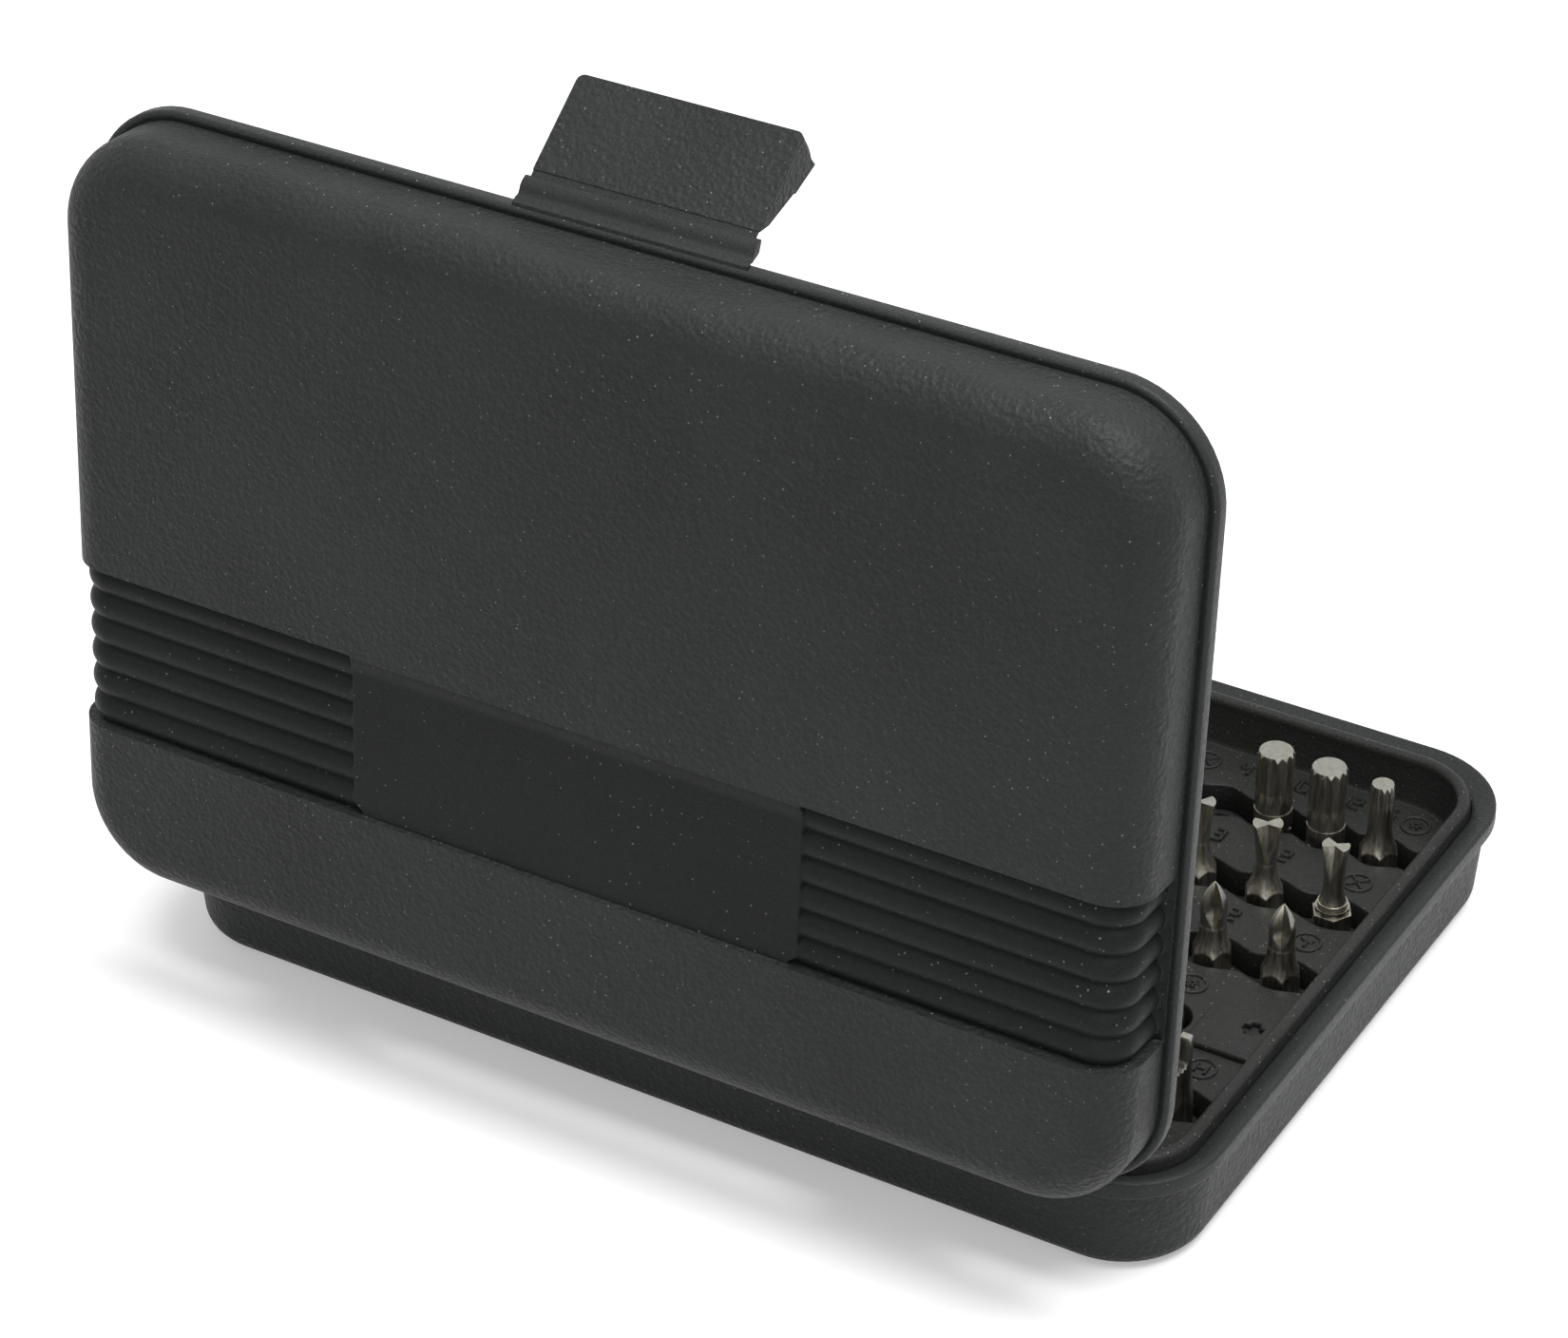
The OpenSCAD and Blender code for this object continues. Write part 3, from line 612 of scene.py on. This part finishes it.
def tray_rim():
    """The tray's wall with the bead along its top."""
    profile = [(9.4, 11.9), (9.7, 12.02), (9.95, 12.35), (10.1, 13), (10.6, 16), (10.95, 18.6)]
    profile += [(11.02, 19.4)] + arc(12.25, 20.0, 1.25, 180, 20, 10)
    profile += [(13.45, 19.7), (13.6, 19.2), (13.65, 18), (13.65, 4)]
    profile += [(12.05, 4), (12.05, 10.4), (9.4, 10.4)]
    xs, ys = spread(-SPAN_X, SPAN_X, 8), spread(-SPAN_Y, SPAN_Y, 8)
    verts, faces = sweep(profile, xs, ys, closed=True)
    return make("tray_rim", verts, faces, [TRAY_MAT], angle=40.0)


def trench(row):
    """Outline of the slot along a row, wavy where it widens round each bit."""
    y0, pitch, first = ROW_Y[row], ROW_PITCH[row], ROW_FIRST[row]
    last = first + (ROW_COUNT[row] - 1) * pitch
    if row == SHORT_ROW:
        places = [(first - x, y) for x, y in arc(0, 0, POCKET_R, 0, 75, 5)]
        start = first
    else:
        places, start = [(-TRENCH_END, TRENCH_HALF)], first - pitch / 2
    for x in spread(start, last + pitch / 2, pitch / 14):
        bump = (0.5 + 0.5 * math.cos(2 * math.pi * (x - first) / pitch)) ** 0.75
        if abs(x) < TRENCH_END:
            places.append((x, TRENCH_HALF + (POCKET_R - TRENCH_HALF) * bump))
    places.append((TRENCH_END, TRENCH_HALF))
    upper = [(x, y0 + w) for x, w in places]
    return upper + [(x, y0 - w) for x, w in reversed(places) if w > 0.01]


def place_of(row, index):
    """Where the axis of a row's bit stands."""
    return ROW_FIRST[row] + index * ROW_PITCH[row], ROW_Y[row]


# The cross-shaped hole in the pad, about its own middle.
KEYHOLE = ((-1.8, -0.7), (-0.8, -0.9), (-0.7, -1.8), (0.7, -1.7), (0.8, -0.8), (1.8, -0.8),
           (1.7, 0.6), (0.9, 0.8), (0.8, 1.7), (-0.5, 1.8), (-0.8, 0.9), (-1.7, 0.8))


def tray_floor():
    """The slotted plate, the plate of sockets under it, the cradle's bed and the raised pad."""
    r = 10.4
    outer = rounded(0, 0, 2 * (SPAN_X + r), 2 * (SPAN_Y + r), r, 8)
    cradle = rounded(-6, 53.6, 144, 12, 1.2, 3)
    holes = [trench(row) for row in range(len(ROW_Y))]
    parts = [plate("tray_top", [outer, cradle] + holes, TRENCH_Z, TRAY_TOP, TRAY_MAT, 0.35)]
    sockets = [arc(*place_of(row, i), HEX_R + 0.15, 0, 300, 5)
               for row in range(len(ROW_Y)) for i in range(ROW_COUNT[row])]
    inner = rounded(0, -1, 187, 112, 4, 4)
    parts.append(plate("tray_sockets", [inner] + sockets, 1.3, TRENCH_Z + 0.02, TRAY_MAT, 0.05))
    bed = [(47.0, 4.4), (60.2, 4.4), (60.2, 6.0), (47.0, 6.0)]
    parts.append(bar("tray_cradle", bed, 146, -6, TRAY_MAT, 0.1))
    pad = rounded(PAD[0] - 0.9, PAD[1], 13.3, 12, 2, 6)
    key = [(PAD[0] - 3.1 + x, PAD[1] - 2.2 + y) for x, y in KEYHOLE]
    parts.append(plate("tray_pad", [pad, key], 11.4, 13.2, TRAY_MAT, 0.55))
    return parts


def ring_mark(cx, cy, r, sign):
    """A raised ring on the tray with a plain sign in it."""
    verts, faces = [], []
    n, m, t = 36, 8, 0.3
    middle = TRAY_TOP + 0.12
    for k in range(n):
        a = 2 * math.pi * k / n
        here, after = k * m, (k + 1) % n * m
        for j in range(m):
            b = 2 * math.pi * j / m
            rr = r + t * math.cos(b)
            verts.append((cx + rr * math.cos(a), cy + rr * math.sin(a), middle + t * math.sin(b)))
            up = (j + 1) % m
            faces.append((here + j, after + j, after + up, here + up))
    for x0, y0, x1, y1 in sign:
        strokes(verts, faces, (cx + x0, cy + y0), (cx + x1, cy + y1))
    return verts, faces


def strokes(verts, faces, a, b, half=0.3, top=0.42):
    """A raised line from a to b with sloping sides."""
    dx, dy = b[0] - a[0], b[1] - a[1]
    size = math.hypot(dx, dy)
    px, py = -dy / size * half, dx / size * half
    s = len(verts)
    z0, z1 = TRAY_TOP - 0.1, TRAY_TOP + top
    across = ((1.3, z0), (0.6, z1), (-0.6, z1), (-1.3, z0))
    for x, y in (a, b):
        verts += [(x + px * k, y + py * k, z) for k, z in across]
    faces += [(s, s + 1, s + 5, s + 4), (s + 1, s + 2, s + 6, s + 5), (s + 2, s + 3, s + 7, s + 6),
              (s + 3, s, s + 4, s + 7), (s + 3, s + 2, s + 1, s), (s + 4, s + 5, s + 6, s + 7)]


# Signs of drive shapes as lines about their middle.
SIGNS = {
    "star": [(-1.2, 0, 1.2, 0), (-0.6, -1.05, 0.6, 1.05), (0.6, -1.05, -0.6, 1.05)],
    "cross": [(-1.5, -1.5, 1.5, 1.5), (-1.5, 1.5, 1.5, -1.5)],
    "three": [(0, 0, 0, 1.4), (0, 0, 1.2, -0.8), (0, 0, -1.2, -0.8)],
    "bar": [(-1.5, 0, 1.5, 0)],
    "fork": [(-1.0, -1.2, -1.0, 1.2), (1.0, -1.2, 1.0, 1.2), (-1.0, 0, 1.0, 0)],
    "square": [(-1.1, -1.1, 1.1, -1.1), (1.1, -1.1, 1.1, 1.1), (1.1, 1.1, -1.1, 1.1),
               (-1.1, 1.1, -1.1, -1.1)],
}
# Digits as strokes on a two by four grid.
SEGMENTS = {
    "0": "abcdef", "1": "bc", "2": "abged", "3": "abgcd", "4": "fgbc", "5": "afgcd",
    "6": "afgedc", "7": "abc", "8": "abcdefg", "9": "abcdfg",
}
LINES = {"a": (0, 2, 1, 2), "b": (1, 2, 1, 1), "c": (1, 1, 1, 0), "d": (1, 0, 0, 0),
         "e": (0, 0, 0, 1), "f": (0, 1, 0, 2), "g": (0, 1, 1, 1)}


def number(verts, faces, text, cx, cy, size=1.6):
    """A plain size number, read from the latch side."""
    wide = (len(text) * 1.5 - 0.5) * size
    for k, digit in enumerate(text):
        left = cx + wide / 2 - k * size * 1.5
        for segment in SEGMENTS[digit]:
            x0, y0, x1, y1 = LINES[segment]
            strokes(verts, faces, (left - x0 * size, cy - (y0 - 1) * size),
                    (left - x1 * size, cy - (y1 - 1) * size), 0.33, 0.5)


# Per row, the sign of each kind of bit with how many of it there are, and each bit's number.
ROW_SIGNS = (
    (("star", 4), ("cross", 13)),
    (("cross", 3), ("square", 5), ("fork", 6)),
    (("three", 6), ("cross", 8)),
    (("star", 6), ("square", 7)),
    (("fork", 1), ("star", 6), ("bar", 7)),
)
ROW_SIZES = (
    ("5", "12", "10", "4", "6", "8", "10", "15", "20", "25", "27", "30", "35", "40", "45", "50",
     "55"),
    ("1", "2", "3", "0", "1", "2", "3", "4", "4", "5", "6", "8", "10", "12"),
    ("1", "2", "3", "4", "5", "6", "6", "8", "9", "10", "0", "1", "2", "3"),
    ("2", "3", "4", "5", "6", "8", "2", "3", "4", "5", "6", "7", "8"),
    ("4", "8", "9", "10", "15", "20", "25", "3", "4", "5", "6", "7", "8", "9"),
)


def tray_marks():
    """A ringed sign at the first bit of each kind, numbers at the others, both in row 0."""
    verts, faces = [], []
    for row in range(len(ROW_Y)):
        kinds = [kind for kind, n in ROW_SIGNS[row] for _ in range(n)]
        for i in range(ROW_COUNT[row]):
            x, y = place_of(row, i)
            y += MARK_Y
            first = i == 0 or kinds[i] != kinds[i - 1]
            if first:
                v, f = ring_mark(x - (2.6 if row == 0 else 0.2), y, MARK_R, SIGNS[kinds[i]])
                faces += [tuple(k + len(verts) for k in face) for face in f]
                verts += v
            if row == 0 or not first:
                across = 2.6 if row == 0 and first else 1.2 if row else 0.2
                number(verts, faces, ROW_SIZES[row][i], x + across, y - 0.8)
    return make("tray_marks", verts, faces, [TRAY_MAT], angle=30.0)


# ---------------------------------------------------------------- bits
def hexagon(a, flats=HEX_FLATS):
    """Distance of a hexagon's side from its middle, corners along x."""
    a = (a + math.pi / 6) % (math.pi / 3) - math.pi / 6
    return flats / 2 / math.cos(math.pi / 6 - abs(a))


def vee(a, count, turn, root, half):
    """Distance to the sides of the nearest of several V grooves of a half opening angle."""
    step = 2 * math.pi / count
    off = abs((a - math.radians(turn) + step / 2) % step - step / 2)
    half = math.radians(half)
    if off >= half - 0.03:
        return 99.0
    return root * math.sin(half) / math.sin(half - off)


def neck_r(z, z0, z1, r0, r1):
    """A concave neck from r0 at z0 to r1 at z1."""
    return r1 + (r0 - r1) * (1 - share(z, z0, z1)) ** 2.3


def line(z, z0, v0, z1, v1):
    """A straight change from v0 at z0 to v1 at z1."""
    return v0 + (v1 - v0) * share(z, z0, z1)


def spline_section(kind, a, z, body):
    """Twelve ridges that run out at start, and a round top edge; low is the shank's end."""
    r, start, low = kind[1:]
    if z >= start:
        off = abs((a + math.pi / 12) % (math.pi / 6) - math.pi / 12)
        ridges = math.cos(math.pi / 4) / math.cos(math.pi / 4 - off)
        body = min(r, r * (0.36 + 0.64 * ridges) + 0.2 * r * line(z, start, 1, start + 3.6, 0))
    elif low:
        body = hexagon(a) if z < low else (r - 0.1 if z > start - 0.5 else r + 0.04)
    if z > SPLINE_EDGE:
        body = min(body, r * 0.89 + (BIT_TOP - z) * 0.13 * r)
    return body


def clutch_section(kind, a, z, body):
    """A waisted head with two grooves across it, over a plain neck or over two rings."""
    r, turn, ringed = kind[1:]
    if ringed:
        body = hexagon(a) if z < COLLAR_Z else min(hexagon(a), 3.0)
        if z > 12.4:
            body = 2.62 if 12.65 < z < 13.35 else RING_R
        if z > RINGS_END:
            body = neck_r(z, RINGS_END, RINGS_END + 3.0, RING_R, THIN)
    elif z >= NECK_Z:
        body = min(body, neck_r(z, NECK_Z, 17.5, NECK_R, THIN))
    if z > 17.0:
        body = THIN + (r - THIN) * line(z, 18.0, 0, BIT_TOP, 1) ** 1.25
        root = line(z, 17.2, THIN + 0.1, BIT_TOP, 0.42)
        body = min(body, vee(a, 2, turn + 90, root, 60))
    return body


def wing_section(kind, a, z, body):
    """Three or four wings under a pointed dome."""
    count, turn = kind[2:]
    if z <= WING_Z:
        return body
    dome = wing_dome(kind, z)
    root = line(z, WING_Z, 1.0, 20.0, 0.36) * dome
    return min(body, dome, vee(a, count, turn, root, 58 if count == 3 else 41))


def wing_dome(kind, z):
    """Radius that the wings of a pointed bit reach at a height."""
    r = kind[1]
    if z <= DOME_Z:
        return r - 0.15 + 0.15 * smooth(17, DOME_Z, z)
    return r * (1 - ((z - DOME_Z) / 4.85) ** 1.9) + 0.12 * smooth(DOME_Z, BIT_TOP, z)


def plain_section(kind, a, z, body):
    """Star, hex, square, blade or spanner ends, with a small chamfer at the top."""
    form, r = kind[:2]
    if z <= DRIVE_Z:
        return body
    if form == "star":
        body = r * 0.76 + (r - r * 0.76) * abs(math.cos(a * 3)) ** 1.3
    elif form == "hex":
        body = hexagon(a, r * 1.74)
    elif form == "square":
        turn = (a + math.pi / 4) % (math.pi / 2) - math.pi / 4
        body = min(r * 0.74 / math.cos(turn), r)
    else:
        half = kind[2] + (r - kind[2]) * (1 - smooth(DRIVE_Z, 21.5, z)) ** 2
        body = min(r, half / max(0.02, abs(math.sin(a))))
    return body - max(0.0, z - 24.6) * 0.5


SECTIONS = {"spline": spline_section, "clutch": clutch_section, "wing": wing_section}


def section(kind, a, z):
    """Distance of a bit's surface from its axis at an angle and a height."""
    body = hexagon(a)
    if z >= NECK_Z:
        body = min(body, neck_r(z, NECK_Z, NECK_END, NECK_R, kind[1]))
    body = SECTIONS.get(kind[0], plain_section)(kind, a, z, body)
    return min(body, 2.9 + z) if z < 0.8 else body


def bit_levels(kind):
    """Heights of a bit's rings; a spanner bit's body ends where its prongs begin."""
    levels = list(LEVELS)
    if kind[0] == "spline":
        start, low = kind[2:]
        levels += [start + step for step in (-0.5, -0.49, 0, 0.01, 0.8, 1.6, 2.4, 3.4)]
        levels += [low - 0.01, low, low + 0.15] if low else []
    if kind[0] == "fork":
        levels = [z for z in levels if z <= PRONG_Z]
    return sorted(set(round(z, 3) for z in levels))


def circle(cx, cy, z, turns, radius):
    """A ring of points whose distance from the axis depends on the angle."""
    out = []
    for k in range(turns):
        a = 2 * math.pi * k / turns
        r = radius(a)
        out.append((cx + r * math.cos(a), cy + r * math.sin(a), z))
    return out


def band(low, high, count):
    """The faces between two rings of points that start at low and at high."""
    return [(low + k, low + (k + 1) % count, high + (k + 1) % count, high + k)
            for k in range(count)]


def bit(kind, cx, cy):
    """Points and faces of one bit, and which faces are its bright end."""
    turns = 144 if kind[0] == "spline" else 108
    levels = bit_levels(kind)
    verts, faces, marks = [], [], []
    for z in levels:
        verts += circle(cx, cy, FLOOR + z, turns, lambda a: section(kind, a, z))
    for i, (below, above) in enumerate(zip(levels, levels[1:])):
        z = (below + above) / 2
        faces += band(i * turns, (i + 1) * turns, turns)
        for k in range(turns):
            worn = False
            if kind[0] == "wing" and z > WORN_Z:
                a = 2 * math.pi * (k + 0.5) / turns
                worn = section(kind, a, z) > wing_dome(kind, z) - 0.02
            marks.append(1 if worn else 0)
    top = (len(levels) - 1) * turns
    high = FLOOR + levels[-1]
    if kind[-1] == "bored":
        rim = len(verts)
        for z in (high, high - 3.0):
            verts += circle(cx, cy, z, turns, lambda a: 0.32 * kind[1])
        faces += band(top, rim, turns) + band(rim, rim + turns, turns)
        faces.append(tuple(rim + turns + k for k in range(turns)))
        marks += [1] * turns + [0] * turns + [0]
    else:
        faces += [(top + k, top + (k + 1) % turns, len(verts)) for k in range(turns)]
        verts.append((cx, cy, high))
        marks += [1] * turns
    faces += [((k + 1) % turns, k, len(verts)) for k in range(turns)]
    verts.append((cx, cy, FLOOR))
    marks += [0] * turns
    if kind[0] == "fork":
        prong(verts, faces, marks, kind, cx, cy, 1)
        prong(verts, faces, marks, kind, cx, cy, -1)
    return verts, faces, marks


def prong(verts, faces, marks, kind, cx, cy, side):
    """One of the two prongs of a spanner bit."""
    r, half = kind[1:]
    plan = [(0.85, -half), (r - 0.15, -half), (r, -half * 0.5), (r, half * 0.5), (r - 0.15, half),
            (0.85, half)]
    start, n = len(verts), len(plan)
    for z, inset in ((PRONG_Z - 0.1, 0.0), (BIT_TOP - 0.25, 0.0), (BIT_TOP, 0.12)):
        for x, y in plan:
            px = x - inset if x > 1.5 else x + inset
            verts.append((cx + side * px, cy + y * (1 - inset), FLOOR + z))
    for i in range(2):
        faces += band(start + i * n, start + (i + 1) * n, n)
        marks += [i] * n
    faces.append(tuple(start + k for k in range(n)))
    faces.append(tuple(start + 2 * n + k for k in range(n)))
    marks += [0, 1]


def bits(name, row, first, last, kind):
    """The bits from first to last of a row as one piece."""
    verts, faces, marks = [], [], []
    for i in range(first, last + 1):
        v, f, m = bit(kind, *place_of(row, i))
        faces += [tuple(k + len(verts) for k in face) for face in f]
        verts += v
        marks += m
    obj = make(name + "_shape", verts, faces, [BIT_MAT, END_MAT], marks, 28.0)
    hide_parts(name)
    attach(obj, name + "_body")


# Piece, row, first and last place, and form: its name, its radius and what its section reads.
BITS = (
    ("bit_spline_small", 0, 0, 0, ("spline", 2.15, 18.0, 0)),
    ("bit_spline_large", 0, 1, 1, ("spline", 3.36, 13.5, 9.5)),
    ("bit_spline_medium", 0, 2, 2, ("spline", 3.36, 13.5, 9.5)),
    ("bits_spline_hidden", 0, EMPTY_SOCKET + 1, 5, ("spline", 2.95, 17.6, 0)),
    ("bits_star_bored", 0, 6, 10, ("star", 2.2, "bored")),
    ("bits_star_bored_large", 0, 11, 16, ("star", 3.0, "bored")),
    ("bit_clutch_right", 1, 0, 0, ("clutch", 2.4, 4, True)),
    ("bit_clutch_middle", 1, 1, 1, ("clutch", 2.62, 30, False)),
    ("bit_clutch_left", 1, 2, 2, ("clutch", 2.62, 30, False)),
    ("bits_square", 1, 3, 7, ("square", 2.2)),
    ("bits_spanner", 1, 8, 13, ("fork", 2.9, 0.78)),
    ("bit_three_wing_right", 2, 0, 0, ("wing", 2.4, 3, 108)),
    ("bit_three_wing_left", 2, 1, 1, ("wing", 2.4, 3, 114)),
    ("bits_three_wing", 2, 2, 5, ("wing", 2.4, 3, 110)),
    ("bits_offset_cross", 2, 6, 9, ("wing", 2.4, 4, 60)),
    ("bits_cross", 2, 10, 13, ("wing", 2.4, 4, 45)),
    ("bits_hex_bored", 3, 0, 5, ("hex", 2.5, "bored")),
    ("bits_hex", 3, 6, 12, ("hex", 2.5)),
    ("bit_spanner_right", 4, 0, 0, ("fork", 2.9, 0.78)),
    ("bits_star", 4, 1, 6, ("star", 2.6)),
    ("bits_slotted", 4, 7, 13, ("blade", 2.6, 0.5)),
)


# ---------------------------------------------------------------- build
lid = join([lid_shell()] + hinge(-1, "lid") + hinge(1, "lid"), "lid_shape")
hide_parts("lid_shell")
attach(lid, "lid")

base = join([base_shell()] + hinge(-1, "base") + hinge(1, "base"), "base_shape")
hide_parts("base_shell")
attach(base, "base")

tray = join([tray_rim()] + tray_floor() + [tray_marks()], "tray_shape")
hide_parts("tray_insert")
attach(tray, "base")

for name, row, first, last, kind in BITS:
    bits(name, row, first, last, kind)

# The latch is drawn along y from its first bend line, with z as its depth, and turned into place.
turn = Matrix.Rotation(math.radians(TAB_REST - 180), 4, "X")
LATCH = LID @ Matrix.Translation(Vector((0, BEND_Y, BEND_Z)) * MM) @ turn
tip = FLAP_L + STRIP
flap = [(STRIP + 0.5, 0.03), (tip, 0.03), (tip - 0.3, 2.6), (tip - 1.8, 5.2), (tip - 1.6, 7.2),
        (tip - 2.4, 7.0), (STRIP + 9.9, 5.5), (STRIP + 9.6, 5.0), (STRIP + 2.6, 2.2),
        (STRIP + 0.5, 0.5)]
tab = bar("latch_tab_shape", flap, FLAP_W, 0, CASE_MAT, 0.4, LATCH, corner=(1, 1.3))
hook = [(STRIP + 4.95, 2.5), (STRIP + 4.95, 6.6), (STRIP + 5.6, 6.8), (STRIP + 7.6, 4.9),
        (STRIP + 7.6, 3.5)]
tab = join([tab, bar("hook", hook, 24, 0, CASE_MAT, 0.2, LATCH)], "latch_tab_shape")
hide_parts("latch_tab")
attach(tab, "tab")

edge = STRIP - 0.45
strip = [(1.2, 0.34), (1.6, 0.55), (2.0, 0.6), (2.4, 0.45), (2.8, 0.2), (3.2, 0.06), (3.7, 0.0),
         (4.2, 0.03), (edge - 0.4, 0.12), (edge - 0.1, 0.26), (edge, 0.36), (edge, 0.55),
         (STRIP - 2, 1.5), (3, 1.5), (1.2, 0.95)]
strip = bar("latch_strip_shape", strip, TAB_W, 0, BAND_MAT, 0, LATCH)
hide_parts("latch_strip")
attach(strip, "strip")


def latch_point(along, deep):
    """A point of the latch in the closed lid's own y and z, in millimetres."""
    t = math.radians(TAB_REST)
    return (BEND_Y - along * math.cos(t) + deep * math.sin(t),
            BEND_Z - along * math.sin(t) - deep * math.cos(t))


half_y = CASE_D / 2
web = [(-half_y + 0.3, BEND_Z - 0.04), (-half_y, BEND_Z - 0.04)]
web += [latch_point(along, deep) for along, deep in (
    (0.15, 0.1), (0.5, 0.2), (0.9, 0.28), (1.3, 0.3), (1.3, 0.72), (0.9, 0.7))]
web += [(-half_y - 0.35, BEND_Z - 0.95), (-half_y, BEND_Z - 0.75), (-half_y + 0.3, BEND_Z - 0.75)]
web = bar("latch_web_shape", web, TAB_W, 0, BAND_MAT, 0, LID)
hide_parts("latch_web")
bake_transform(web)

fold = [(edge - 0.1, 0.3), (STRIP - 0.3, 0.27), (STRIP - 0.1, 0.26), (STRIP + 0.1, 0.26),
        (STRIP + 0.3, 0.24), (STRIP + 0.6, 0.2), (STRIP + 0.6, 0.46), (STRIP + 0.3, 0.48),
        (STRIP + 0.1, 0.48), (STRIP - 0.1, 0.48), (STRIP - 0.3, 0.48), (edge - 0.1, 0.48)]
fold = bar("latch_fold_shape", fold, FLAP_W - 0.3, 0, BAND_MAT, 0, LATCH)
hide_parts("latch_fold")
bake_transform(fold)

# These pieces are shown as the solids are, with a material of their own.
PLAIN_PIECES = (("hinge_pins", PIN_MAT), ("holder_sleeve", BIT_MAT), ("holder_shank", BIT_MAT),
                ("holder_magnet", PIN_MAT), ("adapter_body", BIT_MAT), ("adapter_ball", END_MAT))
for name, mat in PLAIN_PIECES:
    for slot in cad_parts[name].material_slots:
        slot.material = mat


# ---------------------------------------------------------------- studio
# The floor's glow and tone as it is seen, and the tone that it lights the case with.
FLOOR_LIFT, FLOOR_SEEN, FLOOR_BOUNCE = 0.3, 0.84, 0.42
# Half of the floor's side and how far it lies under the case, in metres.
FLOOR_HALF, FLOOR_Z = 4.0, -0.0002
# Strength of the world's light at the horizon and overhead.
SKY_LOW, SKY_HIGH = 0.33, 0.62


def seen_rays(tree):
    """One where the ray is seen, straight on, mirrored or through glass, and nought elsewhere."""
    path = tree.nodes.new("ShaderNodeLightPath")
    seen = path.outputs["Is Camera Ray"]
    for ray in ("Is Glossy Ray", "Is Transmission Ray"):
        most = tree.nodes.new("ShaderNodeMath")
        most.operation = "MAXIMUM"
        tree.links.new(seen, most.inputs[0])
        tree.links.new(path.outputs[ray], most.inputs[1])
        seen = most.outputs[0]
    return seen


def map_range(tree, value, low, high):
    """A value from nought to one carried to low to high; either end may be a number or a link."""
    node = tree.nodes.new("ShaderNodeMapRange")
    tree.links.new(value, node.inputs["Value"])
    for name, end in (("To Min", low), ("To Max", high)):
        if isinstance(end, float):
            node.inputs[name].default_value = end
        else:
            tree.links.new(end, node.inputs[name])
    return node.outputs[0]


def stage_material():
    """A pale floor that reaches white in the open and keeps the case's shadow."""
    mat = bpy.data.materials.new("pale_floor")
    mat.use_nodes = True
    tree = mat.node_tree
    bsdf = tree.nodes["Principled BSDF"]
    bsdf.inputs["Roughness"].default_value = 0.9
    bsdf.inputs["Emission Color"].default_value = (1, 1, 1, 1)
    seen = seen_rays(tree)
    lift = map_range(tree, seen, 0.0, FLOOR_LIFT)
    tree.links.new(lift, bsdf.inputs["Emission Strength"])
    tone = map_range(tree, seen, FLOOR_BOUNCE, FLOOR_SEEN)
    tree.links.new(tone, bsdf.inputs["Base Color"])
    return mat


def add_floor():
    corners = ((-1, -1), (1, -1), (1, 1), (-1, 1))
    mesh = bpy.data.meshes.new("floor")
    mesh.from_pydata([(x * FLOOR_HALF, y * FLOOR_HALF, FLOOR_Z) for x, y in corners], [],
                     [(0, 1, 2, 3)])
    mesh.materials.append(stage_material())
    floor = add_object("floor", mesh)


def area(name, place, aim, size, power):
    """A square soft light of a size in metres and a power in watts."""
    light = bpy.data.lights.new(name, "AREA")
    light.shape = "RECTANGLE"
    light.size, light.size_y = size, size
    light.energy = power
    obj = add_object(name, light)
    obj.location = place
    obj.rotation_euler = (Vector(aim) - Vector(place)).to_track_quat("-Z", "Y").to_euler()


def world_light():
    """Soft light that is stronger from above, and a plain white where it is seen."""
    world = bpy.data.worlds.new("studio")
    bpy.context.scene.world = world
    world.use_nodes = True
    tree = world.node_tree
    background = tree.nodes["Background"]
    coord = tree.nodes.new("ShaderNodeTexCoord")
    split = tree.nodes.new("ShaderNodeSeparateXYZ")
    tree.links.new(coord.outputs["Generated"], split.inputs[0])
    sky = map_range(tree, split.outputs["Z"], SKY_LOW, SKY_HIGH)
    level = map_range(tree, seen_rays(tree), sky, 1.0)
    background.inputs["Color"].default_value = (1, 1, 1, 1)
    tree.links.new(level, background.inputs["Strength"])


def camera():
    data = bpy.data.cameras.new("camera")
    data.sensor_width = CAMERA_SENSOR
    data.lens = CAMERA_LENS
    data.clip_start, data.clip_end = 0.01, 20
    obj = add_object("camera", data)
    obj.location = Vector(CAMERA_MM) * MM
    obj.rotation_euler = tuple(math.radians(a) for a in CAMERA_TURN)
    bpy.context.scene.camera = obj


bpy.context.scene.view_settings.view_transform = "Standard"
add_floor()
camera()
world_light()
area("key", (-0.35, 0.1, 1.3), (0, 0, 0.05), 0.9, 21)
area("fill", (-0.4, 1.3, 0.6), (0, 0.05, 0.08), 1.0, 2.6)
